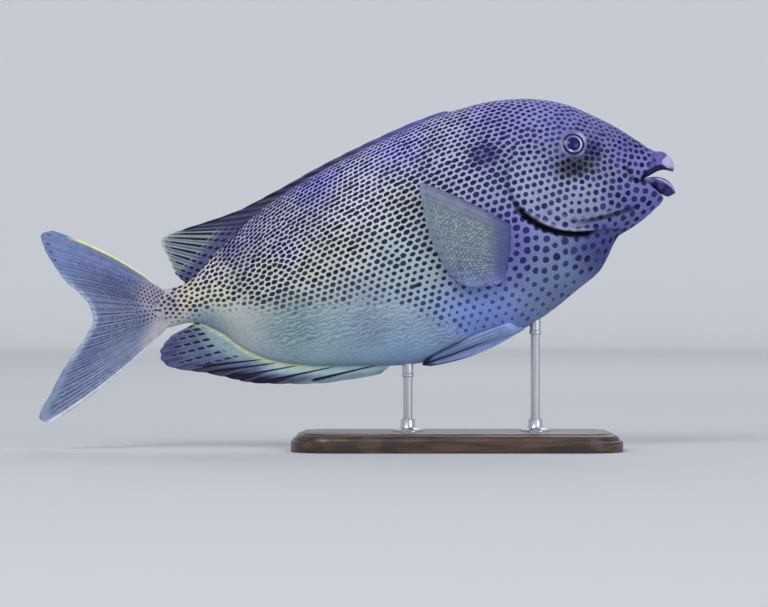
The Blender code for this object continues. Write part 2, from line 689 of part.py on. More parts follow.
def make_stand(wood, steel, grown):
    length, width, height = BASE_SIZE
    outline = []
    for corner in range(4):
        middle_x = (length / 2 - BASE_CORNER) * (1 if corner in (0, 3) else -1)
        middle_y = (width / 2 - BASE_CORNER) * (1 if corner in (0, 1) else -1)
        for step in range(9):
            angle = math.radians(90 * corner + 90 * step / 8)
            outline.append((middle_x + BASE_CORNER * math.cos(angle), middle_y + BASE_CORNER * math.sin(angle)))
    count = len(outline)
    points = [(x, y, z) for z in (0, height) for x, y in outline]
    faces = [tuple(range(count))[::-1], tuple(range(count, 2 * count))]
    faces += [(i, (i + 1) % count, (i + 1) % count + count, i + count) for i in range(count)]
    base = add_object("stand_base", points, faces, wood, None)
    bevel = base.modifiers.new("edge", "BEVEL")
    bevel.width = BASE_BEVEL * MM
    bevel.segments = 2
    bevel.angle_limit = math.radians(60)
    shade(base)
    for name, (x, high) in RODS.items():
        low = height + GAP
        bm = bmesh.new()
        bmesh.ops.create_cone(
            bm, cap_ends=True, segments=ROD_SIDES, radius1=ROD_RADIUS * MM, radius2=ROD_RADIUS * MM,
            depth=(high - low) * MM, matrix=Matrix.Translation((x * MM, 0, (low + high) / 2 * MM)),
        )
        mesh = bpy.data.meshes.new(name)
        bm.to_mesh(mesh)
        bm.free()
        mesh.materials.append(steel)
        rod = bpy.data.objects.new(name, mesh)
        bpy.context.scene.collection.objects.link(rod)
        boolean(rod, "DIFFERENCE", grown)
        keep_largest(rod)
        shade(rod)


def main():
    for obj in list(bpy.data.objects):
        bpy.data.objects.remove(obj)
    pose = bpy.data.objects.new("fish_pose", None)
    bpy.context.scene.collection.objects.link(pose)
    pose.location = (SNOUT_X * MM, 0, SNOUT_Z * MM)
    pose.rotation_euler = (0, -math.radians(PITCH_DEG), 0)

    flesh = make_material("flesh", FLESH, 0.4)
    fin = make_material("fin", FIN, 0.45)
    eye = make_material("eye", EYE, 0.1)
    wood = make_material("stand_wood", WOOD, 0.35)
    steel = make_material("stand_steel", STEEL, 0.3, 1.0)

    stations = np.concatenate([[5.5, 7], np.arange(10, 27, 4.0), TRUNK_STATIONS, TAIL_STATIONS])
    grown = as_cutter(loft("grown_body", skin_grid(stations, TRUNK_SIDES, "torso", GAP + 0.1), None, pose, (0, GAP)))

    make_head(flesh, pose)
    make_eyes(eye, pose)
    make_trunk(flesh, pose)
    make_midline_fins(fin, pose, grown)
    make_caudal(fin, pose, grown)
    make_pectorals(fin, pose, grown)
    make_pelvics(fin, pose, grown)
    make_stand(wood, steel, grown)


main()
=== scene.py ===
"""Looks of the brown-spotted rabbitfish model: spotted skin, ribbed fins, eyes and display stand.

The fish is drawn in its own frame, in millimetres: s runs back from the snout along the body's axis,
h is up from that axis, and y is out to the left. The whole is pitched nose-up over the stand.
"""

import math

import bmesh
import bpy
import numpy as np
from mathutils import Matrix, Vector, kdtree


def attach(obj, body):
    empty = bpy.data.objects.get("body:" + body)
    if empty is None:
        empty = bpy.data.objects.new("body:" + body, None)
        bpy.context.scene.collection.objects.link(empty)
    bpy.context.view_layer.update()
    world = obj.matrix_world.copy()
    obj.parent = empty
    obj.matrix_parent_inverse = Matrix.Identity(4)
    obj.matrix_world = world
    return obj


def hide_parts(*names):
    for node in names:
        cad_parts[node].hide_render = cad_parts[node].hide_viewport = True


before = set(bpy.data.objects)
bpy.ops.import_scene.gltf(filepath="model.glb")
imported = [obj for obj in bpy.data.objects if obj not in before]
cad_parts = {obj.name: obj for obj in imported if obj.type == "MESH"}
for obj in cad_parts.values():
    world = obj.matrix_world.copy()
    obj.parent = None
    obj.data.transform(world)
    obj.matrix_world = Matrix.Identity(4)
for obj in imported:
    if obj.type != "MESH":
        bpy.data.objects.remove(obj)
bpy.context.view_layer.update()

MM = 0.001
SEED = 7
FLANKS = {"right": -1, "left": 1}

# The fish's own frame, over the middle of the stand's base
SNOUT_X = 117.4
SNOUT_Z = 144.7
PITCH = math.radians(14)

# Outline of the flesh from the side, as (s, h)
BACK = [
    (5.5, 12.5), (7, 17), (10, 20.6), (16, 27), (26.5, 37.6), (35.6, 45.2), (45, 52.3), (55, 57.5),
    (70, 62.4), (91, 65.1), (113, 64.4), (136, 60.8), (160, 56.0), (183, 50.6), (207, 43.0),
    (219, 38.4), (232, 31.6), (248.6, 21.9), (260, 13.6), (266, 10.4), (273, 9.3), (287, 10.2), (289.5, 10.9),
]
BELLY = [
    (5.5, 2), (7, -6), (9, -9.4), (13.6, -12.6), (22.5, -17.0), (31.6, -20.3), (36.3, -21.8),
    (40, -25.2), (46, -32.6), (51, -37.6), (65, -44.5), (80, -51.6), (96, -57.2), (112, -59.8),
    (134, -61.6), (150, -62.3), (160, -61.9), (168, -60.6), (179, -57.8), (201, -52.7), (220, -47.2),
    (234, -41.0), (241, -36.2), (248, -29.9), (254, -22.5), (260, -16.9), (266, -12.8), (274, -11.1),
    (287, -11.4), (289.5, -12.2),
]
HALF_WIDTH = [
    (5.5, 3.5), (7, 5.8), (10, 7.8), (15, 9.9), (22, 12.2), (32, 15.0), (48, 19.0), (65, 22.2),
    (85, 24.3), (105, 25.0), (130, 24.4), (160, 21.8), (190, 17.4), (220, 12.2), (245, 8.0),
    (265, 5.2), (276, 3.9), (283, 2.4), (287, 1.2), (289.5, 0.45),
]
WIDEST_AT = [
    (5.5, 7), (20, 7), (48, 12), (80, 9), (110, 5), (150, 2), (200, -1), (240, -3), (287, -0.6),
]
RIDGE_POWER = [(5.5, 1.0), (45, 1.0), (90, 1.12), (220, 1.12), (287, 1.0)]
BODY_LENGTH = 289.5

# The skin's grid of points
SIDES = 560
RING_SAMPLES = 721
FACE_START = 26.0
ROW_STEP = 0.8

# Rings from the face to the inside of the mouth: (s, h) at the top and the bottom, (s, h, y) at the corner,
# how square the ring is, how far its upper and its lower half arch up, and the rows up to it
FACE_RINGS = [
    ((16.0, 27.0), (16.0, -13.6), (21.0, 7.0, 11.9), 1.0, (0, 0), 14),
    ((9.5, 19.9), (8.4, -8.4), (19.6, 5.8, 11.0), 0.9, (0, 0), 12),
    ((6.5, 17.6), (11.0, -3.8), (18.9, 5.2, 10.3), 0.75, (0.2, 0), 8),
    ((2.6, 16.2), (6.4, -7.6), (18.3, 5.0, 9.6), 0.65, (0.6, 0.2), 8),
    ((-0.5, 12.0), (3.2, -7.4), (17.8, 4.8, 9.0), 0.6, (1.3, 0.9), 8),
    ((-1.3, 7.2), (1.5, -6.6), (17.5, 4.7, 8.4), 0.6, (1.9, 1.3), 8),
    ((0.2, 4.6), (1.6, -3.8), (17.5, 4.6, 7.8), 0.6, (2.4, 1.8), 6),
    ((2.4, 6.6), (4.0, 0.4), (17.9, 4.6, 6.8), 0.7, (2.3, 1.4), 6),
    ((7.0, 7.6), (8.0, 1.6), (18.6, 4.4, 5.2), 0.8, (1.8, 1.0), 6),
    ((14.0, 5.5), (14.0, 2.5), (19.2, 4.2, 3.0), 0.9, (0.6, 0.4), 6),
]

# Each row of the face, counted in rings, from the cheek into the mouth
FACE_PLACES = np.concatenate(
    [1 + i + np.arange(ring[-1]) / ring[-1] for i, ring in enumerate(FACE_RINGS)] + [[1.0 + len(FACE_RINGS)]]
)

# The gill cover's free edge, from the nape round to the throat, and the slit behind it, darkened with painted
# shade
GILL_EDGE = [
    (82, 74), (77, 58), (76.5, 46), (80, 37.5), (85.5, 29), (88, 18), (86, 7), (77, -5), (64, -13),
    (50, -16), (40, -17.3), (31, -21.3), (25, -28),
]
PATH_STEPS = 4
GILL_STEP = 1.1
GILL_COVER_REACH = 9.0
SHOULDER_SINK = 1.2
SHOULDER_REACH = 5.0
SLIT_WIDTH = 3.2
SLIT_DEPTH = 2.4
SKIN_INSET = 0.06

# Groove round the plate at the mouth's corner, and the upper lip's underside: both darkened with painted
# shade
PLATE_EDGE = [(16.8, 5.6), (18.8, 3.9), (21.4, 4.9), (23.2, 7.8), (24.4, 12.4)]
LIP_SHADE = [(1.5, 3.5), (2.8, 6.4), (4.3, 8.7), (7.4, 9.9), (12, 9.2), (16, 7.4), (19, 5.0)]
CHEEK_CREASE = [(76, 14), (74, 3), (65, -6), (54, -9.3), (38, -9.6), (20, -9.0)]
CREASE_DEPTH = 1.2
CREASE_REACH = 1.3

# Eye
EYE_S, EYE_H = 49.6, 31.1
EYE_RADIUS = 8.2
EYE_DEPTH = 5.0
EYE_SUNK = 2.9
EYE_STEPS = 40
EYE_TURNS = 72
PUPIL_RAISED = 0.35
# Rings of the eye, from the pupil out: (radius, colour)
EYE_RINGS = [
    (0.0, (22, 8, 102)), (3.0, (18, 6, 90)), (3.4, (6, 2, 28)), (3.65, (10, 6, 36)), (3.85, (240, 236, 252)),
    (4.35, (232, 228, 246)), (4.65, (54, 46, 118)), (5.2, (22, 16, 70)), (8.2, (22, 16, 70)),
]
ORBIT_EDGE = 5.3
ORBIT_RIM = 6.7
ORBIT_DEPTH = 3.4
# Pit of the skin before the eye, darkened with painted shade
PIT = (39.2, 27.0)
# Dusky patches of the skin: (s, h), half length, half height and strength
DUSKY = [(51.5, 19.6, 11.0, 5.8, 0.95), (42.5, 22.5, 7.0, 3.6, 0.75)]
BLOTCH = (97.0, 36.9, 8.6, 6.2)
NOSTRILS = [(31.5, 32.6, 0.9), (28.4, 30.2, 0.7)]

# Spots at places of the flank: (s, h), their pitch along a row, the pitch of the rows, half a spot's length
# as a share of the pitch, and how flat it is
SPOT_PLACES = [
    (14, 20, 3.8, 3.4, 0.34, 1.05), (30, 36, 2.5, 2.15, 0.35, 1.2), (24, 12, 4.0, 3.5, 0.33, 1.0),
    (13, -5, 6.4, 5.6, 0.25, 1.0), (30, -13, 5.4, 4.8, 0.28, 1.0), (20, -14, 6.4, 5.6, 0.25, 1.0),
    (53, 45, 3.5, 2.85, 0.34, 1.2), (60, 57, 3.6, 2.8, 0.35, 1.25), (51, 19, 3.6, 3.3, 0.39, 1.0),
    (55, 4, 3.65, 3.15, 0.33, 1.0), (71, 15, 3.8, 3.25, 0.32, 1.0), (80, 35, 4.4, 3.4, 0.36, 1.1),
    (89, 53, 3.9, 2.45, 0.44, 1.3), (97, 62, 3.1, 2.1, 0.44, 1.3), (97, 40, 4.65, 3.0, 0.49, 1.3),
    (107, 54, 3.35, 2.1, 0.47, 1.33), (117, 51, 3.4, 2.05, 0.49, 1.35), (119, 61, 2.8, 1.9, 0.47, 1.3),
    (125, 40, 4.3, 2.5, 0.50, 1.42), (138, 34, 4.85, 2.8, 0.50, 1.5), (140, 15, 5.0, 3.1, 0.45, 1.5),
    (152, -3, 4.85, 3.5, 0.355, 1.2), (150, 50, 2.9, 1.72, 0.49, 1.35), (178, 48, 2.9, 1.8, 0.51, 1.37),
    (165, 36, 3.8, 2.15, 0.50, 1.4), (186, 19, 3.95, 2.25, 0.49, 1.45), (200, 36, 3.05, 1.85, 0.51, 1.37),
    (205, 10, 3.9, 2.5, 0.47, 1.33), (200, -3, 4.0, 2.9, 0.38, 1.15), (183, -15, 3.9, 3.1, 0.31, 1.0),
    (227, 28, 2.7, 1.65, 0.50, 1.33), (238, 18, 2.95, 1.8, 0.47, 1.3), (226, 1, 4.45, 2.95, 0.43, 1.3),
    (252, 8, 3.7, 2.65, 0.40, 1.2), (250, -3, 4.0, 3.0, 0.34, 1.1), (240, 25, 3.0, 2.2, 0.42, 1.15),
    (274, 8, 3.3, 2.5, 0.36, 1.1), (287, 4, 2.6, 2.1, 0.35, 1.05), (78, -24, 8.2, 7.0, 0.23, 1.0),
    (100, -32, 5.5, 4.6, 0.26, 1.0), (64, -32, 7.4, 6.4, 0.24, 1.0), (100, 10, 4.4, 3.4, 0.39, 1.1),
    (122, -40, 4.6, 4.0, 0.27, 1.0), (140, -24, 3.9, 3.1, 0.31, 1.1), (163, -16, 3.7, 2.9, 0.32, 1.15),
    (203, -10, 4.0, 2.9, 0.33, 1.1),
]
# Half the width of the net between two spots, in shares of the pitch, and how square crowded spots get
NET_HALF = 0.045
CORNERS = 5.0
SPOT_SIZE = 1.08
SPOT_SPREAD = 0.11
SPOT_RANGE = (0.72, 1.22)
SPOT_TILT = math.radians(16)
# How often two spots of a row run together, and how well they must be in line
PAIRED = 0.05
IN_LINE = 0.93
# Height of a triangle of spots with sides of 1
TRIANGLE = 0.866
# Where rows start, their ragged start, their slant on the flank, and the gaps between rows that end one
# or call for another
ROWS_START_AT = 100
ROW_JITTER = 0.06
ROW_SLANT = math.radians(-7)
ROW_TOO_NEAR = 0.62
ROW_TOO_FAR = 1.3
# Evening out: rounds, neighbours, how often these are looked up, how often spots are thinned and up to how
# many rounds before the last, the distance within which spots push each other, and how hard
ROUNDS = 60
NEIGHBOURS = 8
LOOK_UP_EVERY = 5
THIN_EVERY = 15
SETTLING = 10
ROOM = 1.22
PUSH = 0.22
# Mean distance to its six nearest below which a spot may be dropped, and the least distance of two
CROWDED = 0.92
MERGED = 0.6
# Reach of one spot's own ground
GROUND = 1.7
# Where the spots end over the belly, as (s, h)
SPOT_LIMIT = [
    (0, -16), (20, -20), (40, -27), (60, -40), (72, -47), (100, -54), (125, -52), (140, -45), (150, -35),
    (159, -28), (190, -20.5), (220, -16.5), (257, -6.5), (275, -7.5), (287, -6),
]

# How far the values of one place blend into the next
PLACE_BLUR = 40.0
PLACE_FALL = 1.6

# Paint at named places: (s, h), the net and the spots on it
TONES = {
    "snout": (15, 20, (120, 118, 178), (12, 10, 64)),
    "chin": (20, -9, (108, 114, 176), (18, 14, 68)),
    "forehead": (53, 48, (150, 151, 206), (40, 40, 102)),
    "under_eye": (51, 21, (108, 114, 132), (8, 10, 34)),
    "cheek": (55, 7, (152, 160, 190), (28, 34, 70)),
    "opercle": (76, 18, (152, 160, 190), (30, 32, 80)),
    # The throat's darker purple is partly painted shade under the chin
    "throat": (46, -25, (70, 78, 134), (20, 18, 62)),
    "nape": (85, 55, (145, 142, 196), (14, 12, 78)),
    "above_pectoral": (117, 43, (176, 178, 208), (8, 8, 52)),
    "back_middle": (140, 56, (168, 165, 223), (16, 12, 84)),
    "back_rear": (186, 46, (146, 144, 214), (8, 4, 72)),
    "back_end": (230, 28, (172, 168, 204), (10, 6, 54)),
    "flank_front": (148, 21, (190, 196, 194), (12, 10, 46)),
    "flank_middle": (173, 31, (210, 209, 228), (4, 2, 40)),
    "flank_low": (152, -7, (172, 190, 194), (24, 38, 60)),
    "flank_warm": (180, 10, (198, 203, 194), (8, 6, 38)),
    "flank_yellow": (200, 4, (198, 202, 184), (8, 8, 34)),
    "flank_rear": (212, 14, (188, 190, 220), (6, 4, 42)),
    "flank_end": (222, 6, (200, 203, 190), (8, 6, 36)),
    "stem_top": (257, 15, (214, 208, 208), (26, 18, 50)),
    "dorsal_base": (241, 25, (134, 128, 170), (14, 10, 56)),
    "stem_yellow": (268, 2, (210, 200, 174), (40, 32, 58)),
    "stem_pink": (280, 7, (186, 176, 178), (46, 40, 78)),
    "stem_middle": (252, 2, (198, 204, 180), (30, 32, 44)),
    "stem_low": (264, -12, (98, 130, 148), (62, 76, 96)),
    "tail_root": (286, 0, (162, 162, 176), (50, 48, 84)),
    "belly_rear": (215, -28, (98, 130, 138), (80, 96, 108)),
    "belly_middle": (180, -38, (120, 142, 168), (74, 90, 114)),
    "belly_front": (120, -50, (124, 146, 214), (46, 58, 114)),
    "belly_edge_rear": (209, -48, (150, 182, 196), (80, 96, 108)),
    "belly_edge_middle": (184, -56, (150, 184, 210), (74, 90, 114)),
    "belly_edge_front": (162, -58, (138, 170, 212), (64, 80, 114)),
    "shoulder": (96, -12, (104, 110, 172), (36, 34, 104)),
    "chest": (76, -30, (114, 130, 168), (30, 38, 82)),
}

# Half thicknesses of a fin's membrane and of its edge, and how deep a fin's root is sunk into the body
MEMBRANE = 0.16
EDGE = 0.09
FIN_SUNK = 2.5
RAY_WIDTH = 0.15
FIN_MARKS = ("mark", "dots", "spots", "blots", "lines", "speckle")

# Folded fins: the tips of their spines and of their soft rays as (share, s, h), and their roots as (u, s)
DORSAL = {
    "spine_tips": [
        (0.0, 112, 65.9), (0.1, 128, 64.2), (0.25, 152, 60.0), (0.45, 182, 53.5), (0.65, 212, 45.4),
        (0.8, 234, 40.4), (1.0, 261.5, 38.3),
    ],
    "ray_tips": [
        (0.0, 262.6, 38.2), (0.15, 270, 37.5), (0.25, 273.2, 36.5), (0.34, 275.0, 35.2),
        (0.45, 275.4, 32.4), (0.55, 274.8, 28.9), (0.65, 273.8, 24.6), (0.75, 272.9, 20.4),
        (0.85, 272.2, 16.4), (1.0, 268.8, 10.9),
    ],
    "roots": [
        (0, 99), (1, 226), (1.15, 232.4), (1.25, 237.3), (1.35, 243), (1.45, 248.5), (1.55, 253),
        (1.65, 256.6), (1.75, 259.6), (1.85, 262.6), (2, 265.5),
    ],
    "spines": 13, "rays": 10, "rows": 90, "scallop": 0.9,
    "root_half": 1.2, "thin_by": 0.5, "ray_half": 0.3, "pleat": 0.12,
}
ANAL = {
    "spine_tips": [
        (0.0, 179, -63.0), (0.2, 206, -60.6), (0.45, 229, -55.6), (0.7, 247, -50.4), (1.0, 259, -44.6),
    ],
    "ray_tips": [
        (0.0, 260.0, -44.1), (0.12, 270, -39.2), (0.25, 279, -35.7), (0.37, 287, -31.8), (0.48, 290.7, -27.0),
        (0.6, 290.2, -22.6), (0.72, 286.5, -18.5), (0.86, 281, -15.2), (1.0, 273, -13.6),
    ],
    "roots": [
        (0, 168), (1, 224), (1.17, 232), (1.28, 239), (1.39, 244.9), (1.5, 248.8), (1.61, 251.6),
        (1.72, 254.5), (1.83, 257.6), (2, 264.5),
    ],
    "spines": 7, "rays": 9, "rows": 90, "scallop": 0.9,
    "root_half": 1.2, "thin_by": 0.5, "ray_half": 0.3, "pleat": 0.12,
}
# Dark folds of the anal fin's membrane, each from the body's edge to the margin
ANAL_FOLDS = [
    ((177, -57.6), (214, -57.2)), ((200, -53.0), (243, -51.4)), ((219, -47.6), (260, -45.0)),
    ((229, -43.6), (267, -39.6)), ((237, -39.9), (269, -35.8)),
]
# Dark folds of the dorsal fin's spiny part
DORSAL_FOLDS = [((172, 53.4), (226, 41.6)), ((196, 46.6), (244, 38.6)), ((214, 40.6), (262, 37.6))]
# Fans of soft rays, by their root, their tips and how far their rays bow: (share, s, h) and (share, bow)
CAUDAL = {
    "root": [(0.0, 280, 8.5), (0.5, 283.5, -0.5), (1.0, 281, -9.6)],
    "tips": [
        (0.0, 330.5, 54.5), (0.02, 334.5, 54.6), (0.05, 337.4, 52.6), (0.14, 336.8, 45.5), (0.25, 334, 36),
        (0.35, 330, 26), (0.43, 325, 19.2), (0.5, 320.6, 8.5), (0.56, 321, 2.4), (0.63, 326, -4.0),
        (0.71, 335, -12.2), (0.8, 344, -20.4), (0.88, 352, -29.6), (0.95, 361.6, -41), (1.0, 356.5, -45.7),
    ],
    "bulge": [(0.0, 3.4), (0.5, 0.0), (1.0, -2.6)],
    "rays": 17, "fine": 10, "rows": 120, "scallop": 0.35,
    "root_half": 2.1, "thin_by": 0.3, "ray_half": 0.16, "pleat": 0.04,
}
PECTORAL = {
    "root": [(0.0, 91.5, -3.6), (0.4, 94.5, -14), (1.0, 102.4, -29.5)],
    "tips": [
        (0.0, 133.2, 31.0), (0.05, 134.4, 29.5), (0.2, 135.2, 20), (0.4, 135.7, 8), (0.6, 134.2, -6),
        (0.75, 131.5, -17), (0.86, 127, -25), (0.94, 120, -29.4), (1.0, 111, -30.8),
    ],
    "bulge": [(0.0, 1.5), (0.5, 0.0), (1.0, -1.0)],
    "rays": 16, "fine": 10, "rows": 100, "scallop": 0.5,
    "root_half": 1.1, "thin_by": 0.25, "ray_half": 0.11, "pleat": 0.05,
}
PECTORAL_CLEAR = 2.0
PECTORAL_LIFT = 6.0
PELVIC = {
    "root": [(0.0, 102.5, -52.6), (1.0, 97.5, -57.6)],
    "tips": [(0.0, 152.5, -60.8), (0.5, 155.6, -63.2), (1.0, 151.5, -65.0)],
    "bulge": [(0.0, 1.7), (1.0, -3.3)],
    "rays": 5, "fine": 12, "rows": 80, "scallop": 0.5,
    "root_half": 1.1, "thin_by": 0.3, "ray_half": 0.3, "pleat": 0.1,
}
PELVIC_NEAREST = 1.3
PELVIC_CLEAR = 1.1
PELVIC_LIFT = 0.8
# Dark streaks of the pelvic fins: where each runs across the fin, and where it starts along it
PELVIC_STREAKS = [(0.02, 0.4), (0.52, 0.2), (0.98, 0.45)]

# Display stand, in the shared frame: the base's edge as (inset, height), and each rod's place along it
BASE_SIZE = (176.0, 88.0)
BASE_CORNER = 22.0
BASE_EDGE = [
    (0.8, 0.0), (0.15, 0.25), (0.0, 0.9), (0.0, 5.0), (0.15, 5.6), (0.8, 5.9), (1.7, 5.9), (1.9, 6.8),
    (2.5, 7.8), (3.5, 8.6), (4.8, 9.1), (6.2, 9.3), (6.4, 9.5), (6.5, 9.85), (6.9, 10.0),
]
CORNER_STEPS = 17
RODS = {"front": 42.5, "rear": -25.8}
ROD_BORE = 2.3
# Turned pieces as (radius, height): a flange on the base, and a sleeve up to the belly
FLANGE = [
    (8.0, 9.8), (8.0, 10.7), (7.6, 11.1), (5.4, 11.4), (4.4, 12.0), (3.9, 13.2), (3.8, 16.4), (3.4, 16.9),
]
SLEEVE = [(2.9, -6.4), (3.3, -6.1), (3.3, -4.6), (3.0, -4.3), (3.0, 1.6)]
TURNS = 48

# The photo's framing
CAMERA_AT = (-38.6, -1800.0, 78.5)
VIEW_WIDTH = 411.6
SENSOR = 36.0

# Floor, in metres: where it starts to rise, the radius of its rise, and the wall's top
FLOOR_REACH = 4.5
FLOOR_RISE = 1.5
WALL_TOP = 3.5
FLOOR_TURNS = 96
# Greys of the floor near the middle and far out: the darker near grey is painted shade against the lamps'
# pool of light
FLOOR_GREYS = ((0.6, 0.61, 0.625, 1), (0.96, 0.965, 0.97, 1))
LIGHTS_AIM = (-0.04, 0, 0.1)
# Lights: place, width, power and colour
LIGHTS = {
    "key": ((-1.3, -2.4, 2.2), 1.6, 46, (1.0, 0.98, 0.95)),
    "fill": ((2.0, -2.2, 0.9), 1.8, 22, (0.92, 0.95, 1.0)),
    "back": ((0.4, 2.4, 1.9), 1.6, 14, (0.95, 0.97, 1.0)),
}


def smooth(points):
    """A monotone cubic through (x, y) points, as a function of arrays."""
    x, y = np.array(points, float).T
    width, rise = np.diff(x), np.diff(y)
    slope = rise / width
    tangent = np.concatenate([slope[:1], np.zeros(len(x) - 2), slope[-1:]])
    for i in range(1, len(x) - 1):
        if slope[i - 1] * slope[i] > 0:
            before, after = 2 * width[i] + width[i - 1], width[i] + 2 * width[i - 1]
            tangent[i] = (before + after) / (before / slope[i - 1] + after / slope[i])

    def at(value):
        value = np.clip(value, x[0], x[-1])
        i = np.clip(np.searchsorted(x, value) - 1, 0, len(x) - 2)
        t = (value - x[i]) / width[i]
        return (
            y[i] * (1 + 2 * t) * (1 - t) ** 2
            + tangent[i] * width[i] * t * (1 - t) ** 2
            + y[i + 1] * t * t * (3 - 2 * t)
            + tangent[i + 1] * width[i] * t * t * (t - 1)
        )

    return at


def smooth_pair(points):
    """Two smooth functions of the first column, for points of (u, s, h)."""
    return smooth([(u, s) for u, s, _ in points]), smooth([(u, h) for u, _, h in points])


def through(points, t):
    """A Catmull-Rom curve through points, at places t counted in spans."""
    p = np.concatenate([2 * points[:1] - points[1:2], points, 2 * points[-1:] - points[-2:-1]])
    i = np.clip(t.astype(int), 0, len(points) - 2)
    f = (t - i).reshape(-1, *[1] * (points.ndim - 1))
    a, b, c, d = p[i], p[i + 1], p[i + 2], p[i + 3]
    return 0.5 * (2 * b + (c - a) * f + (2 * a - 5 * b + 4 * c - d) * f**2 + (3 * b - a - 3 * c + d) * f**3)


def rounded_path(points):
    """A path with rounded corners, as closely spaced points."""
    points = np.array(points, float)
    return through(points, np.linspace(0, len(points) - 1, PATH_STEPS * (len(points) - 1) + 1))


back, belly, half_width = smooth(BACK), smooth(BELLY), smooth(HALF_WIDTH)
widest_at, ridge_power = smooth(WIDEST_AT), smooth(RIDGE_POWER)
gill_path = rounded_path(GILL_EDGE)
crease_path = rounded_path(CHEEK_CREASE)
plate_path = rounded_path(PLATE_EDGE)


def flank(s, h):
    """Half the body's width at (s, h)."""
    middle = widest_at(s)
    share = np.where(h > middle, (h - middle) / (back(s) - middle), (middle - h) / (middle - belly(s)))
    power = np.where(h > middle, ridge_power(s), 1.0)
    return half_width(s) * np.clip(1 - share**2, 0, 1) ** (power / 2)


def from_line(s, h, start, run):
    """How far along a line each (s, h) lies, as a share, and its offset from the line's nearest point."""
    t = np.clip(((s - start[0]) * run[0] + (h - start[1]) * run[1]) / (run**2).sum(), 0, 1)
    return t, s - start[0] - t * run[0], h - start[1] - t * run[1]


def distance_to(path, s, h):
    """Distance from each (s, h) to a path, and its side: above 0 in front of it."""
    best = np.full(s.shape, 1e9)
    side = np.zeros(s.shape)
    for start, run in zip(path[:-1], np.diff(path, axis=0)):
        _, away_s, away_h = from_line(s, h, start, run)
        far = np.hypot(away_s, away_h)
        nearer = far < best
        best = np.where(nearer, far, best)
        side = np.where(nearer, -np.sign(run[0] * away_h - run[1] * away_s), side)
    return best, side


def fade(value, start, end):
    """0 before start, 1 past end, smooth between."""
    t = np.clip((value - start) / (end - start), 0, 1)
    return t * t * (3 - 2 * t)


def band(value, rise, full, fall, gone):
    """1 from full to fall, and fading to 0 at rise and at gone."""
    return fade(value, rise, full) * (1 - fade(value, fall, gone))


def bump(value, reach):
    """1 at 0, falling off on both sides within reach."""
    return np.exp(-((value / reach) ** 2))


def dot(a, b):
    return (a * b).sum(-1)


def to_world(points):
    """Points of the fish's frame, as (-s, y, h) in mm, in the shared frame in metres."""
    x, y, z = points[..., 0], points[..., 1], points[..., 2]
    return MM * np.stack(
        [
            SNOUT_X + x * math.cos(PITCH) - z * math.sin(PITCH),
            y,
            SNOUT_Z + x * math.sin(PITCH) + z * math.cos(PITCH),
        ],
        -1,
    )


def paint(colour):
    """A display colour of 0 to 255 as linear light."""
    value = np.array(colour, float) / 255
    return np.where(value <= 0.04045, value / 12.92, ((value + 0.055) / 1.055) ** 2.4)


# Meshes

def in_metres(points):
    return MM * points


def into_scene(name, data, place=(0, 0, 0), turn=(0, 0, 0)):
    obj = bpy.data.objects.new(name, data)
    obj.location = place
    obj.rotation_euler = turn
    bpy.context.scene.collection.objects.link(obj)
    return obj


def numbered(rows, columns):
    return np.arange(rows * columns).reshape(rows, columns)


def faces_between(rings, others):
    """Faces from each ring of points to its neighbour, all the way round."""
    corners = [rings, others, np.roll(others, -1, -1), np.roll(rings, -1, -1)]
    return np.stack(corners, -1).reshape(-1, 4).tolist()


def closed_faces(index):
    """Faces between rings of points, and a fan over each end, round a point numbered after them."""
    front = np.stack([np.full(len(index[0]), index.size), index[0], np.roll(index[0], -1)], -1)
    rear = np.stack([np.full(len(index[0]), index.size + 1), np.roll(index[-1], -1), index[-1]], -1)
    return [*faces_between(index[:-1], index[1:]), *front.tolist(), *rear.tolist()]


def turned_points(radius, height, turns, x=0.0):
    """Rings of points turned about an upright axis."""
    angle = np.linspace(0, 2 * math.pi, turns, endpoint=False)
    radius, height = radius[:, None], height[:, None]
    points = np.stack([x + radius * np.cos(angle), radius * np.sin(angle), height + 0 * angle], -1)
    return points.reshape(-1, 3)


def smooth_mesh(name, points, faces, material):
    mesh = bpy.data.meshes.new(name)
    mesh.from_pydata(points, [], faces)
    mesh.update()
    mesh.shade_smooth()
    mesh.materials.append(material)
    return into_scene(name, mesh)


def mesh_object(name, points, faces, material, nodes=(), placed=to_world, sharp=None):
    """A piece from points in the fish's frame, or in one that `placed` turns into the shared frame."""
    obj = smooth_mesh(name, placed(points), faces, material)
    if sharp:
        obj.data.set_sharp_from_angle(angle=sharp)
    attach(obj, "root")
    if nodes:
        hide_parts(*nodes)
    return obj


def face_out(obj):
    """Turns a closed piece's faces outwards."""
    bm = bmesh.new()
    bm.from_mesh(obj.data)
    bmesh.ops.recalc_face_normals(bm, faces=bm.faces)
    if bm.calc_volume(signed=True) < 0:
        bmesh.ops.reverse_faces(bm, faces=bm.faces)
    bm.to_mesh(obj.data)
    bm.free()


def lay_out(obj, places):
    """The piece's flat layout, one place for each corner of its faces."""
    obj.data.uv_layers.new(name="OFBake").data.foreach_set("uv", places.astype(np.float32).ravel())


def store(obj, **fields):
    """For each point of the mesh a number, a place or a colour with its alpha, for the material to read."""
    kinds = {1: ("FLOAT", "value"), 3: ("FLOAT_VECTOR", "vector"), 4: ("FLOAT_COLOR", "color")}
    for name, values in fields.items():
        values = np.asarray(values, np.float32)
        kind, field = kinds[values.size // len(values)]
        obj.data.attributes.new(name, kind, "POINT").data.foreach_set(field, values.ravel())


def colour_values(rgb):
    return np.concatenate([rgb, np.ones((len(rgb), 1))], 1)


# Skin

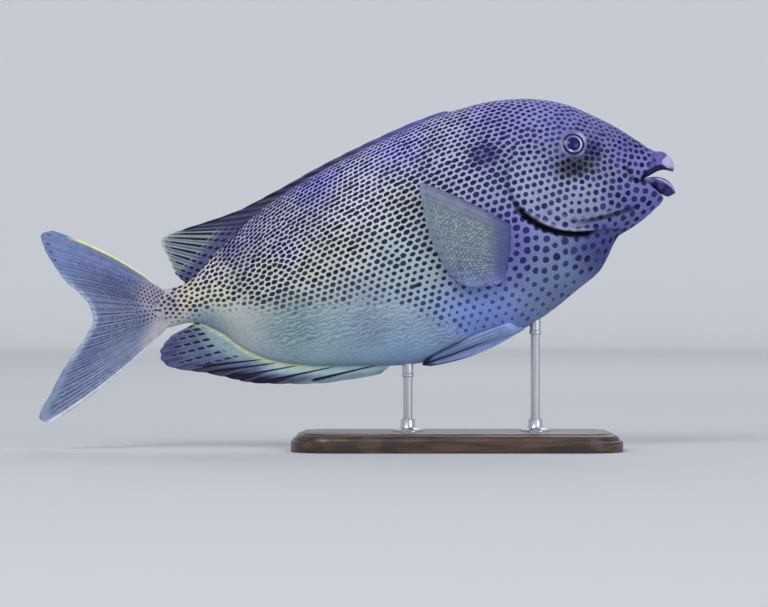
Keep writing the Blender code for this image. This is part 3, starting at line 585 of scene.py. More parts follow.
def even_ring(s, y, h, count, crowd=0.0):
    """Points spaced along one side of a ring, from the back down to the belly, closer on the upper flank."""
    step = np.sqrt(np.diff(s) ** 2 + np.diff(y) ** 2 + np.diff(h) ** 2)
    share = np.cumsum(step) / step.sum()
    along = np.concatenate([[0], np.cumsum(step * (1 + crowd * (0.3 - 0.9 * fade(share, 0.5, 0.85))))])
    even = np.linspace(0, along[-1], count + 1)
    return np.stack([np.interp(even, along, s), np.interp(even, along, y), np.interp(even, along, h)], -1)


def both_sides(half_ring):
    """A whole ring as (-s, y, h): down the right side and up the left."""
    s, y, h = half_ring.T
    right = np.stack([-s, -y, h], -1)
    left = np.stack([-s, y, h], -1)[::-1]
    return np.concatenate([right, left[1:-1]])


def body_ring(s):
    turn = np.linspace(0, math.pi, RING_SAMPLES)
    up = np.cos(turn) > 0
    middle = widest_at(s)
    y = half_width(s) * np.sin(turn) ** np.where(up, ridge_power(s), 1.0)
    h = middle + np.where(up, back(s) - middle, middle - belly(s)) * np.cos(turn)
    return both_sides(even_ring(np.full(turn.shape, s), y, h, SIDES // 2, fade(s, FACE_START, 60)))


def face_ring(top, bottom, corner, square, arches):
    """A ring of the face or of the mouth, through its top, its corner and its bottom."""
    turn = np.linspace(0, math.pi, 2 * RING_SAMPLES - 1)
    up = np.cos(turn) > 0
    share = np.abs(np.cos(turn))
    s = corner[0] + np.where(up, top[0] - corner[0], bottom[0] - corner[0]) * share**square
    h = corner[1] + np.where(up, top[1] - corner[1], bottom[1] - corner[1]) * share
    h = h + np.where(up, *arches) * 4 * share * (1 - share)
    y = corner[2] * np.sin(turn) ** (0.55 + 0.45 * square)
    return both_sides(even_ring(s, y, h, SIDES // 2))


def skin_rings():
    """The skin's grid, from inside the mouth to the tail's root, before any relief."""
    controls = [body_ring(FACE_START + 8), body_ring(FACE_START)]
    for *shape, _ in FACE_RINGS:
        controls.append(face_ring(*shape))
    controls = np.array(controls)
    face = through(controls, FACE_PLACES)[::-1]
    stations = np.arange(FACE_START + ROW_STEP, BODY_LENGTH, ROW_STEP)
    body = np.array([body_ring(s) for s in np.append(stations, BODY_LENGTH)])
    return np.concatenate([face, body])


def grid_normals(grid):
    along = np.gradient(grid, axis=0)
    round_it = np.roll(grid, -1, 1) - np.roll(grid, 1, 1)
    normal = np.cross(along, round_it)
    return normal / (np.linalg.norm(normal, axis=-1, keepdims=True) + 1e-9)


def eye_frame(side):
    """The middle of the eye, and the way out of it."""
    step = 2.0
    y = float(flank(EYE_S, EYE_H))
    along = float(flank(EYE_S + step, EYE_H) - flank(EYE_S - step, EYE_H)) / (2 * step)
    up = float(flank(EYE_S, EYE_H + step) - flank(EYE_S, EYE_H - step)) / (2 * step)
    out = np.array([along, 1.0, -up])
    out /= np.linalg.norm(out)
    flip = np.array([1, side, 1])
    return (np.array([-EYE_S, y, EYE_H]) - out * EYE_SUNK) * flip, out * flip


def from_eye(points, side):
    """Distance of points from one eye's axis, and a large one for points of the other side."""
    middle, axis = eye_frame(side)
    offset = points - middle
    radius = np.linalg.norm(offset - (offset @ axis)[..., None] * axis, axis=-1)
    return np.where(points[..., 1] * side > 0, radius, 99.0)


def skin_relief(grid):
    """How far each point of the skin stands out, and its shades: painted shade in creases, the gill slit and
    hollows, pale edges, and dusky and purple patches.
    """
    s, h = -grid[..., 0], grid[..., 2]
    out = np.full(s.shape, -SKIN_INSET)
    shades = {key: np.zeros(s.shape) for key in ("crease_shade", "pale", "dusk_and_shade", "violet_and_shade")}

    def shade(key, values):
        shades[key] = np.maximum(shades[key], values)

    # Gill cover, with the slit behind its lower edge, sunk and darkened with painted shade
    away, side = distance_to(gill_path, s, h)
    signed = away * side
    along = fade(-h, -44, -34) * fade(s, 30, 42)
    out += np.where(signed > 0, GILL_STEP * along * bump(away, GILL_COVER_REACH), 0)
    out -= np.where(signed <= 0, SHOULDER_SINK * along * bump(away, SHOULDER_REACH), 0)
    low = fade(-h, -14, 0)
    wide = SLIT_WIDTH * (0.4 + 0.6 * low) * fade(s, 42, 58)
    slit = band(-signed, -0.6, 0.1, wide - 0.9, wide + 0.5) * fade(-h, -34, -16) * fade(s, 45, 52)
    out -= SLIT_DEPTH * (0.35 + 0.65 * low) * slit * bump(signed + 0.5 * wide, 0.55 * wide + 0.1)
    shade("crease_shade", slit * low)
    shade("violet_and_shade", 0.9 * slit * (1 - low))
    shade("pale", 0.6 * bump(signed - 1.3, 0.7) * fade(-h, -10, 8) * fade(s, 46, 58))

    # Crease of the cheek, darkened with painted shade, and the bluish-purple forehead
    fold, fold_side = distance_to(crease_path, s, h)
    out -= CREASE_DEPTH * fade(s, 18, 26) * bump(fold, CREASE_REACH)
    fold = fold * fold_side
    shade("crease_shade", 0.8 * band(s, 20, 28, 48, 66) * band(-fold, -0.7, 0.2, 0.9, 2.6))
    shade("pale", 0.5 * bump(fold - 1.3, 0.7) * band(s, 28, 40, 66, 74))
    shade("violet_and_shade", 0.42 * (1 - fade(s, 50, 80)) * fade(h, 14, 34))

    # Orbits, each with a rim that is palest towards the brow, and painted shade round the eyeball's edge
    for side in FLANKS.values():
        radius = from_eye(grid, side)
        rim = np.maximum(radius - ORBIT_RIM, 0)
        out += 0.9 * bump(rim, 1.5) * fade(radius, 4.2, 6.0)
        out -= ORBIT_DEPTH * (1 - fade(radius, ORBIT_EDGE - 0.9, ORBIT_EDGE + 0.1))
        turn = np.arctan2(h - EYE_H, -(s - EYE_S))
        brow = bump(turn - 0.45, 0.55)
        arc = 0.06 + 1.1 * brow + 0.75 * bump(np.abs(turn) - 3.0, 0.45) + 0.6 * bump(turn + 1.0, 0.4)
        ring = bump(np.maximum(radius - ORBIT_EDGE - 1.2, 0), 0.35 + 1.2 * brow) * fade(radius, 5.9, 6.4)
        shade("crease_shade", 0.85 * (1 - fade(radius, ORBIT_EDGE + 0.1, ORBIT_EDGE + 0.8)))
        shade("pale", np.minimum(arc, 1) * ring)
        shade("violet_and_shade", 0.5 * bump(rim, 1.2))
        shade("dusk_and_shade", 0.35 * bump(rim, 1.0))

    # Nostrils, the pit before the eye, the plate at the mouth's corner and the dusky patches: the nostrils,
    # the pit and the groove round the plate are darkened with painted shade
    for place_s, place_h, size in NOSTRILS:
        far = np.hypot(s - place_s, h - place_h)
        out += 0.3 * bump(far - size * 1.3, 0.45) - 1.1 * bump(far, size * 0.75)
        shade("crease_shade", bump(far, size * 0.8))
    out -= 0.8 * bump(np.hypot((s - PIT[0]) / 1.1, h - PIT[1]), 2.6)
    pit = bump(np.hypot((s - PIT[0]) / 4.8, (h - PIT[1]) / 4.2) ** 1.5, 1.0)
    shade("dusk_and_shade", 0.45 * pit)
    shade("violet_and_shade", 0.95 * pit)
    plate, _ = distance_to(plate_path, s, h)
    out -= 0.6 * bump(plate, 1.1)
    shade("crease_shade", 0.9 * bump(plate, 1.15) * (1 - 0.7 * bump(np.hypot(s - 22.9, h - 8.4), 1.3)))
    for place_s, place_h, long, tall, amount in DUSKY:
        shade("dusk_and_shade", amount * bump(np.hypot((s - place_s) / long, (h - place_h) / tall) ** 1.6, 1.0))
    shades["pale"] = np.clip(shades["pale"], 0, 1)
    return out, shades


def weighted(s, h, values):
    """The mean of values at named places, by how near each (s, h) lies to them."""
    total = 0.0
    weights = 0.0
    for place in values:
        weight = 1 / ((s - place[0]) ** 2 + (h - place[1]) ** 2 + PLACE_BLUR) ** PLACE_FALL
        total = total + weight[..., None] * np.array(place[2:], float)
        weights = weights + weight
    return total / weights[..., None]


def search_tree(points):
    tree = kdtree.KDTree(len(points))
    for k, point in enumerate(points):
        tree.insert(point, k)
    tree.balance()
    return tree


class Pattern:
    """The spots of the skin: rows that follow the body, evened out until each spot has its own room.

    A spot's place is its row and its side in the skin's grid, in fractions of a step.
    """

    def __init__(self, grid, normal):
        self.grid = grid
        self.rows, self.sides = grid.shape[:2]
        s, h = -grid[..., 0], grid[..., 2]
        values = weighted(s, h, SPOT_PLACES)
        self.along, self.between, self.widest, self.flat = (values[..., k] for k in range(4))
        slope = (back(np.clip(s + 8, 0, 287)) - back(np.clip(s - 8, 5.5, 287))) / 16
        middle = widest_at(s)
        share = np.where(h > middle, (h - middle) / (back(s) - middle), (h - middle) / (middle - belly(s)))
        high = np.clip(share, 0, 1) ** 1.3
        level = ROW_SLANT * fade(s, 70, 115) * (1 - fade(s, 225, 265)) * np.clip(1 + share, 0, 1)
        angle = np.arctan(slope) * high * fade(s, 8, 30) + level * (1 - high)
        run = np.stack([-np.cos(angle), np.zeros(s.shape), np.sin(angle)], -1)
        run -= normal * dot(run, normal)[..., None]
        run /= np.linalg.norm(run, axis=-1, keepdims=True) + 1e-9
        self.run, self.cross = run, np.cross(normal, run)
        d_row = np.gradient(grid, axis=0)
        d_side = (np.roll(grid, -1, 1) - np.roll(grid, 1, 1)) / 2
        rr, rs, ss = dot(d_row, d_row), dot(d_row, d_side), dot(d_side, d_side)
        det = rr * ss - rs**2 + 1e-12

        def steps(way):
            """Steps of row and of side for each millimetre that way."""
            a, b = dot(way, d_row), dot(way, d_side)
            return (a * ss - b * rs) / det, (b * rr - a * rs) / det

        self.run_steps, self.cross_steps = steps(self.run), steps(self.cross)
        self.side_gap = np.abs(dot(d_side, self.cross)) / self.between

    def at(self, field, row, side):
        """Values of a field at places between the grid's points."""
        row = np.clip(row, 0, self.rows - 1.001)
        i = row.astype(int)
        j = np.floor(side).astype(int) % self.sides
        f, g = row - i, side - np.floor(side)
        k = (j + 1) % self.sides
        if field.ndim == 3:
            f, g = f[:, None], g[:, None]
        here = field[i, j] * (1 - f) + field[i + 1, j] * f
        beside = field[i, k] * (1 - f) + field[i + 1, k] * f
        return here * (1 - g) + beside * g

    def cell(self, row, side):
        """The grid's point nearest to each place."""
        return np.clip(np.rint(row).astype(int), 0, self.rows - 1), np.rint(side).astype(int) % self.sides

    def march(self, start_row, last_row, random):
        """Spots along rows that start at one station and are led to both ends of the body."""
        found = []
        for way, stop in ((1, last_row), (-1, 0)):
            gap = self.side_gap[start_row]
            count = int(gap.sum())
            spacing = np.concatenate([[0], np.cumsum(gap)])
            side = np.interp(np.arange(count) * spacing[-1] / count, spacing, np.arange(self.sides + 1))
            phase = np.arange(count) % 2 / 2 + random.uniform(-ROW_JITTER, ROW_JITTER, count)
            if way < 0:
                phase = 1 - phase
            for row in range(start_row, stop, way):
                here = np.full(side.shape, float(row))
                step_row = self.at(self.run_steps[0], here, side)
                step_side = self.at(self.run_steps[1], here, side)
                length = 1 / np.abs(step_row)
                phase = phase + length / self.at(self.along, here, side)
                side = (side + way * step_side / step_row) % self.sides
                order = side.argsort()
                side, phase = side[order], phase[order]
                emit = phase >= 1
                found.append([here[emit] + way * (1 - (phase[emit] - 1)), side[emit]])
                phase = np.where(emit, phase - 1, phase)
                if row % 3 == 0:
                    side, phase = self.mend(side, phase, float(row))
        return np.concatenate(found, 1)

    def mend(self, side, phase, row):
        """Drops a row that runs too near the next, and starts one where two have drifted apart."""
        ahead = np.roll(side, -1)
        ahead[-1] += self.sides
        gap = (ahead - side) * self.at(self.side_gap, np.full(side.shape, row), side)
        keep = np.ones(len(side), bool)
        for k in range(len(side)):
            keep[k] = gap[k] >= ROW_TOO_NEAR or not keep[k - 1]
        wide = (gap > ROW_TOO_FAR) & keep
        side = np.append(side[keep], (side[wide] + ahead[wide]) / 2 % self.sides)
        phase = np.append(phase[keep], (phase[wide] + 0.5) % 1)
        order = side.argsort()
        return side[order], phase[order]

    def relax(self, row, side, rounds, last_row):
        """Evens the spots out under the local pitch, as seen in the plane of the skin."""
        for turn in range(rounds):
            at = self.at(self.grid, row, side)
            if turn % LOOK_UP_EVERY == 0:
                tree = search_tree(at)
                near = np.array([[n[1] for n in tree.find_n(point, NEIGHBOURS + 1)][1:] for point in at])
            cell = self.cell(row, side)
            along, between = self.along[cell], self.between[cell] / TRIANGLE
            away = at[near] - at[:, None]
            u = dot(away, self.run[cell][:, None]) / along[:, None]
            v = dot(away, self.cross[cell][:, None]) / between[:, None]
            far = np.hypot(u, v) + 1e-6
            push = np.clip(ROOM - far, 0, None)
            move_u = -(push * u / far).sum(1) * PUSH * along
            move_v = -(push * v / far).sum(1) * PUSH * between
            row = row + move_u * self.run_steps[0][cell] + move_v * self.cross_steps[0][cell]
            side = (side + move_u * self.run_steps[1][cell] + move_v * self.cross_steps[1][cell]) % self.sides
            row = np.clip(row, 0, last_row)
            if turn % THIN_EVERY == THIN_EVERY - 1 and turn < rounds - SETTLING:
                keep = np.ones(len(row), bool)
                for k in np.nonzero(np.sort(far, 1)[:, :6].mean(1) < CROWDED)[0]:
                    keep[k] = not keep[near[k]].all()
                row, side = row[keep], side[keep]
        keep = np.ones(len(row), bool)
        for k in range(len(row)):
            crowd = near[k][far[k] < MERGED]
            keep[k] = not keep[crowd[crowd < k]].any()
        return row[keep], side[keep]

    def partners(self, spots, row, side, random):
        """For a few spots of the flank the next one of their row, that they run together with, or else -1."""
        cell = self.cell(row, side)
        run, flat = self.run[cell], self.flat[cell]
        partner = np.full(len(spots), -1)
        tree = search_tree(spots)
        for k in np.nonzero(random.uniform(0, 1, len(spots)) < PAIRED * (flat - 1.1))[0]:
            for point, m, far in tree.find_n(spots[k], 7)[1:]:
                away = np.array(point) - spots[k]
                if partner[k] < 0 and partner[m] < 0 and abs(away @ run[k]) > IN_LINE * far:
                    partner[k], partner[m] = m, k
        return partner

    def windows(self, row, side):
        """The part of the grid that each spot may reach."""
        parts = []
        for i, j in zip(*self.cell(row, side)):
            along, between = self.along[i, j] * GROUND, self.between[i, j] * GROUND
            tall = int(abs(self.run_steps[0][i, j]) * along + abs(self.cross_steps[0][i, j]) * between) + 2
            wide = int(abs(self.run_steps[1][i, j]) * along + abs(self.cross_steps[1][i, j]) * between) + 2
            rows = np.arange(max(i - tall, 0), min(i + tall + 1, self.rows))
            parts.append(np.ix_(rows, np.arange(j - wide, j + wide + 1) % self.sides))
        return parts

    def spread(self, row, side, random):
        """For each point of the skin: how far outside a spot it lies, as a share of the pitch (below 0 inside
        one), and which spot is its nearest."""
        spots = self.at(self.grid, row, side)
        run = self.run / self.along[..., None]
        cross = self.cross * (TRIANGLE / self.between)[..., None]
        partner = self.partners(spots, row, side, random)
        shape = self.grid.shape[:2]
        best, oval, border = np.full(shape, 9.0), np.full(shape, 9.0), np.full(shape, 1.0)
        nearest = np.zeros(shape, int)
        down = np.where(self.cross[..., 2] < 0, 1.0, -1.0)
        windows = self.windows(row, side)

        def pitches(offset, window):
            """An offset along the row and across it, in pitches."""
            return dot(offset, run[window]), dot(offset, cross[window])

        for k, window in enumerate(windows):
            u, v = pitches(self.grid[window] - spots[k], window)
            far = np.hypot(u, v)
            if partner[k] >= 0:
                to_u, to_v = pitches(spots[partner[k]] - spots[k], window)
                t = np.clip((u * to_u + v * to_v) / (to_u**2 + to_v**2), 0, 0.5)
                u, v = u - t * to_u, v - t * to_v
            v = v * down[window]
            long = u * math.cos(SPOT_TILT) + v * math.sin(SPOT_TILT)
            short = (v * math.cos(SPOT_TILT) - u * math.sin(SPOT_TILT)) * self.flat[window]
            nearer = far < best[window]
            oval[window] = np.where(nearer, np.hypot(long, short), oval[window])
            best[window] = np.where(nearer, far, best[window])
            nearest[window] = np.where(nearer, k, nearest[window])
        for k, window in enumerate(windows):
            own = nearest[window]
            u, v = pitches(self.grid[window] - spots[k], window)
            gap = np.hypot(*pitches(spots[k] - spots[own], window))
            measure = (u**2 + v**2 - best[window] ** 2) / (2 * gap + 1e-6)
            measure = np.where((own == k) | (own == partner[k]), 1.0, measure)
            border[window] = np.minimum(border[window], measure)
        size = np.clip(random.normal(1.0, SPOT_SPREAD, len(row)), *SPOT_RANGE)[nearest]
        widest = SPOT_SIZE * self.widest * size
        edge = (np.clip(0.5 - border, 0, None) / (0.5 - NET_HALF * (2 - size))) ** CORNERS
        outside = ((oval / widest) ** CORNERS + edge) ** (1 / CORNERS) - 1
        return outside, nearest

    def strength(self, row, side, random):
        """How dark each spot is: they fade out over the belly, at the mouth and round the eye."""
        at = self.at(self.grid, row, side)
        s, h = -at[:, 0], at[:, 2]
        low = fade(h - smooth(SPOT_LIMIT)(s) + random.normal(0, 1.6, len(s)), -5, 4)
        chest = 1 - 0.32 * fade(-h, 22, 44) * (1 - fade(s, 120, 150)) * fade(s, 50, 70)
        upper = fade(s + 0.3 * (h - 10) + random.normal(0, 0.8, len(s)), 8, 12)
        lower = fade(s + random.normal(0, 0.4, len(s)), 6.5, 8.5)
        strength = low * chest * np.where(h > 3, upper, lower) * random.uniform(0.94, 1.0, len(s))
        for flank_side in FLANKS.values():
            strength = strength * fade(from_eye(at, flank_side), 6.9, 7.9)
        return strength


def spotted(grid, normal):
    """For each point of the skin: how far outside a spot it lies, how dark that spot is, and its tint."""
    random = np.random.default_rng(SEED)
    pattern = Pattern(grid, normal)
    face_rows = len(FACE_PLACES)
    start_row = face_rows + int(np.argmin(np.abs(-grid[face_rows:, 0, 0] - ROWS_START_AT)))
    last_row = len(grid) - 2
    row, side = pattern.march(start_row, last_row, random)
    row, side = pattern.relax(row, side, ROUNDS, last_row)
    outside, nearest = pattern.spread(row, side, random)
    strength = pattern.strength(row, side, random)[nearest]
    tint = random.uniform(0, 1, len(row))[nearest] ** 1.5 * (0.1 + 0.45 * (1 - fade(-grid[..., 0], 62, 90)))
    return outside, strength, tint


def mouth_shades(s, h, ring):
    """Lips, the pale blush inside them, and painted shade inside the mouth, under the upper lip and in the
    groove below the lower lip, with the lower lip's dark smudge and underside, by the rings of the face.
    """
    upper = h > 3.8 + 0.06 * s
    lip = band(ring, 3.0, 4.2, 8.3, 9.0) * (1 - fade(s, 9, 15))
    hook = band(ring, 5.2, 5.75, 7.1, 7.7) * (1 - fade(s, 1.6, 8.4))
    shelf = 0.95 * bump(ring - 7.45, 0.45) * (1 - fade(s, 9, 13))
    shade = (1 - fade(h - smooth(LIP_SHADE)(s), -0.7, 0.9)) * (1 - fade(s, 16, 18.5)) * fade(ring, 3.4, 4.2)
    groove = 0.9 * bump(ring - 4.4, 0.75) * (1 - fade(s, 14, 19))
    along, aside = 0.67 * (s - 5.9) + 0.74 * (h + 2.4), 0.74 * (s - 5.9) - 0.67 * (h + 2.4)
    smudge = 0.85 * bump(np.hypot(along / 3.6, aside / 1.3) ** 1.5, 1.0) * fade(ring, 4.4, 5.2)
    under = 0.72 * band(ring, 4.0, 4.6, 5.7, 6.9) * (1 - fade(s, 11, 16))
    lower = np.maximum(np.maximum(groove, smudge), under)
    return {
        "lip": np.where(upper, lip * 0.8, lip * fade(ring, 5.3, 6.0)),
        "blush": np.where(upper, hook, shelf) * (1 - fade(ring, 7.9, 8.4)),
        "gape_shade": np.maximum(fade(ring, 8.0, 8.6), np.where(upper, 0.92 * shade, lower)),
    }


def with_ends(values, end=0.0):
    return np.append(values, [end, end])


def make_skin(material):
    grid = skin_rings()
    normal = grid_normals(grid)
    out, shades = skin_relief(grid)
    stands = np.clip(np.abs(normal[..., 1]) * 1.5, 0, 1)
    shaped = grid + normal * ((out + SKIN_INSET) * stands - SKIN_INSET)[..., None]
    points = np.concatenate([shaped.reshape(-1, 3), [shaped[0].mean(0)], [shaped[-1].mean(0)]])
    rows, sides = grid.shape[:2]
    faces = closed_faces(numbered(rows, sides))
    obj = mesh_object("fish_skin", points, faces, material, ("head", "torso", "tail_stem"))
    lay_out(obj, skin_layout(grid))

    outside, strength, tint = spotted(grid, normal)
    s, y, h = (np.concatenate([grid.reshape(-1, 3), points[-2:]]) * (-1, 1, 1)).T
    tones = weighted(s, h, [(t[0], t[1], *paint(t[2]), *paint(t[3])) for t in TONES.values()])
    limit = smooth(SPOT_LIMIT)(s)
    worm = fade(limit + 2 - h, -4, 3) * (1 - fade(limit - h, 17, 32)) * band(s, 114, 140, 220, 246)
    ring = np.append(FACE_PLACES[::-1], np.zeros(rows - len(FACE_PLACES))).repeat(sides)
    store(
        obj,
        place=np.stack([s, y, h], -1),
        net=colour_values(tones[:, :3]),
        ink=colour_values(tones[:, 3:]),
        outside=with_ends(outside, 1.0),
        strength=with_ends(strength),
        tint=with_ends(tint),
        blotch=bump(np.hypot((s - BLOTCH[0]) / BLOTCH[2], (h - BLOTCH[1]) / BLOTCH[3]) ** 1.6, 1.0),
        worm=worm,
        below=fade(limit + 1 - h, -3, 5) * fade(s, 110, 180),
        **{key: with_ends(values) for key, values in shades.items()},
        **mouth_shades(s, h, np.append(ring, [FACE_PLACES[-1], 0.0])),
    )


def skin_layout(grid):
    """The skin laid flat, cut along the back, at the same scale all over."""
    rows, sides = grid.shape[:2]
    round_it = np.linalg.norm(np.roll(grid, -1, 1) - grid, axis=-1)
    down = np.concatenate([np.zeros((rows, 1)), np.cumsum(round_it, 1)], 1)
    v = 0.5 + (down - down[:, -1:] / 2) / (down[:, -1].max() * 1.02)
    run = np.linalg.norm(np.diff(grid[:, sides // 4], axis=0), axis=-1)
    along = np.concatenate([[0], np.cumsum(run)])
    along = along / along[-1] * 0.98 + 0.01
    i, j = np.meshgrid(np.arange(rows - 1), np.arange(sides), indexing="ij")
    corners = [(i, j), (i + 1, j), (i + 1, j + 1), (i, j + 1)]
    quads = np.stack([np.stack([along[a], v[a, b]], -1) for a, b in corners], 2)

    def fan_over(tip, row, one, other):
        corners = [(tip, v[row, :-1]), (along[row], one), (along[row], other)]
        return np.stack([np.stack(np.broadcast_arrays(*corner), -1) for corner in corners], 1)

    front = fan_over(0.004, 0, v[0, :-1], v[0, 1:])
    rear = fan_over(0.996, -1, v[-1, 1:], v[-1, :-1])
    return np.concatenate([part.reshape(-1, 2) for part in (quads, front, rear)])


# Materials

def rgba(colour):
    return (*paint(colour), 1.0)


def made(tree, kind, inputs, output=0, **settings):
    """An output of a new node, whose inputs are constants or outputs of others."""
    node = tree.nodes.new("ShaderNode" + kind)
    for key, value in settings.items():
        setattr(node, key, value)
    for key, value in inputs.items():
        if isinstance(value, Signal):
            tree.links.new(value.socket, node.inputs[key])
        else:
            node.inputs[key].default_value = value
    return Signal(tree, node.outputs[output])


class Signal:
    """A number, a place or a colour that a material works out for each point."""

    def __init__(self, tree, socket):
        self.tree = tree
        self.socket = socket

    def maths(self, operation, other=0.0):
        return made(self.tree, "Math", {0: self, 1: other}, operation=operation)

    def __add__(self, other):
        return self.maths("ADD", other)

    def __sub__(self, other):
        return self.maths("SUBTRACT", other)

    def __rsub__(self, other):
        return made(self.tree, "Math", {0: other, 1: self}, operation="SUBTRACT")

    def __mul__(self, other):
        return self.maths("MULTIPLY", other)

    def __truediv__(self, other):
        return self.maths("DIVIDE", other)

    def __pow__(self, other):
        return self.maths("POWER", other)

    def span(self, low, high, to_low=0.0, to_high=1.0):
        """This number's place between low and high, eased."""
        inputs = {0: self, 1: low, 2: high, 3: to_low, 4: to_high}
        return made(self.tree, "MapRange", inputs, interpolation_type="SMOOTHSTEP")

    def between(self, a, b, way="MIX"):
        """A colour from a to b, by this share."""
        return made(self.tree, "Mix", {0: self, 6: a, 7: b}, 2, data_type="RGBA", blend_type=way)

    def painted(self, *layers):
        """This colour with others laid over it, each as (colour, share)."""
        colour = self
        for over, share in layers:
            colour = share.between(colour, over if isinstance(over, Signal) else rgba(over))
        return colour

    def dappled(self, cloud, dark, light):
        """This colour, darker and lighter with a cloudy noise."""
        grey = cloud.span(0.3, 0.7, dark, light)
        grey = made(self.tree, "CombineColor", {0: grey, 1: grey, 2: grey})
        return made(self.tree, "Mix", {0: 1.0, 6: self, 7: grey}, 2, data_type="RGBA", blend_type="MULTIPLY")

    def noise(self, scale, detail=2.0, distortion=0.0):
        inputs = {"Vector": self, "Scale": scale, "Detail": detail, "Distortion": distortion}
        return made(self.tree, "TexNoise", inputs, "Fac")

    def stretched(self, factors, turn=0.0):
        return made(self.tree, "Mapping", {"Vector": self, "Scale": factors, "Rotation": (0.0, turn, 0.0)})

    def relief(self, distance, strength, under=None):
        """The skin's direction with this height on it, over another relief."""
        inputs = {"Height": self, "Distance": distance, "Strength": strength}
        if under:
            inputs["Normal"] = under
        return made(self.tree, "Bump", inputs)


class Coating:
    """A material, with constants set on its shader's own sockets."""

    def __init__(self, name, **constants):
        self.material = bpy.data.materials.new(name)
        self.material.use_nodes = True
        self.tree = self.material.node_tree
        self.shader = self.tree.nodes["Principled BSDF"]
        for key, value in constants.items():
            self.shader.inputs[key.replace("_", " ")].default_value = value

    def stored(self, name, output="Fac"):
        """What is stored under a name on the mesh."""
        return made(self.tree, "Attribute", {}, output, attribute_name=name)

    def numbers(self, *names):
        return [self.stored(name) for name in names]

    def object_place(self):
        return made(self.tree, "TexCoord", {}, "Object")

    def finished(self, **signals):
        for key, signal in signals.items():
            self.tree.links.new(signal.socket, self.shader.inputs[key.replace("_", " ")])
        return self.material


def skin_material():
    coat = Coating("skin_paint", Specular_IOR_Level=0.07, Coat_Weight=0.02, Coat_Roughness=0.35)
    place = coat.stored("place", "Vector")
    net, ink = coat.stored("net", "Color"), coat.stored("ink", "Color")
    outside, strength, tint, worm, below = coat.numbers("outside", "strength", "tint", "worm", "below")
    blotch, dusk_and_shade, violet_and_shade, pale, crease_shade = coat.numbers("blotch", "dusk_and_shade", "violet_and_shade", "pale", "crease_shade")
    lip, blush, gape_shade = coat.numbers("lip", "blush", "gape_shade")

    # Spots with ragged edges
    wander = (place.noise(0.8, 3) - 0.5) * 0.34
    spot = (outside + wander + (1.0 - strength) * 0.5).span(0.08, -0.06) * strength**0.7
    # Spots darken in the dusky patches, which also carry the painted shade of the pit before the eye
    ink = ink.painted(((76, 76, 142), tint), ((2, 2, 18), dusk_and_shade))

    # Net between the spots, with the wavy lines of the belly
    winding = {
        "Vector": place.stretched((0.8, 0.5, 1.0), math.radians(-4)),
        "Scale": 0.15, "Distortion": 8.5, "Detail": 0.7, "Detail Scale": 1.5,
    }
    wave = made(coat.tree, "TexWave", winding, "Fac", wave_type="BANDS", bands_direction="Z")
    broken = place.noise(0.45, 2).span(0.36, 0.54, 0.3, 1.0)
    grain = place.noise(0.8, 3, 0.8).span(0.4, 0.6)
    net = net.dappled(place.noise(0.06, 4), 0.9, 1.1).dappled(place.noise(0.8, 3), 0.93, 1.06)
    # Dusky and purple patches over the net also carry painted shade, in the pit before the eye and in the
    # gill slit
    net = net.painted(
        ((62, 60, 118), blotch * place.noise(0.25, 3).span(0.25, 0.6, 0.55, 1.0)),
        ((170, 192, 200), grain * below * 0.24),
        ((70, 92, 112), wave.span(0.5, 0.05) * worm * 0.2),
        ((196, 208, 206), wave.span(0.45, 0.9) * worm * broken * 0.36),
        ((30, 34, 42), dusk_and_shade * 0.8),
        ((60, 58, 134), violet_and_shade * place.noise(0.35, 3).span(0.3, 0.6, 0.45, 1.0)),
    )

    # Pale edges, lips, and painted shade in the creases and inside the mouth, over both
    patchy = blush - place.noise(0.45, 3).span(0.3, 0.7, 0.0, 0.5)
    colour = net.painted(
        (ink, spot),
        ((206, 202, 222), pale * 0.8),
        (place.noise(0.3, 3).span(0.4, 0.6).between(rgba((66, 66, 138)), rgba((104, 104, 172))), lip),
        ((190, 176, 218), patchy.span(-0.05, 0.7)),
        ((14, 8, 56), gape_shade),
        ((10, 6, 30), crease_shade),
    )
    cells = {"Vector": place.stretched((0.75, 0.9, 1.0)), "Scale": 0.62, "Randomness": 0.7}
    scales = made(coat.tree, "TexVoronoi", cells, "Distance", feature="DISTANCE_TO_EDGE")
    return coat.finished(
        Base_Color=colour,
        Roughness=place.noise(0.3, 3).span(0.3, 0.7, 0.42, 0.58),
        Normal=spot.relief(0.0001, -0.5, scales.span(0.0, 0.25).relief(0.00012, 0.5)),
    )


def wood_material():
    """Dark stained wood with its grain along the base."""
    coat = Coating("base_wood", Coat_Weight=0.2, Coat_Roughness=0.3)
    place = coat.object_place()
    figure = place.stretched((7.0, 55.0, 55.0)).noise(1.0, 4, 0.7)
    fine = place.stretched((45.0, 900.0, 900.0)).noise(1.0, 3)
    colour = (figure * 46.0).maths("SINE").span(-1, 1).between(rgba((52, 34, 27)), rgba((88, 61, 46)))
    return coat.finished(
        Base_Color=colour.painted(((30, 19, 15), fine.span(0.4, 0.66, 0.0, 0.6))),
        Roughness=fine.span(0.3, 0.7, 0.34, 0.5),
        Normal=fine.relief(0.00004, -0.4),
    )


def steel_material():
    """Steel brushed along the rods."""
    coat = Coating("rod_steel", Metallic=1.0)
    brushed = coat.object_place().stretched((1600.0, 1600.0, 24.0)).noise(1.0, 3)
    return coat.finished(
        Base_Color=brushed.between(rgba((176, 178, 184)), rgba((222, 224, 228))),
        Roughness=brushed.span(0.3, 0.7, 0.24, 0.42),
        Normal=brushed.relief(0.00002, 0.3),
    )


# Fins

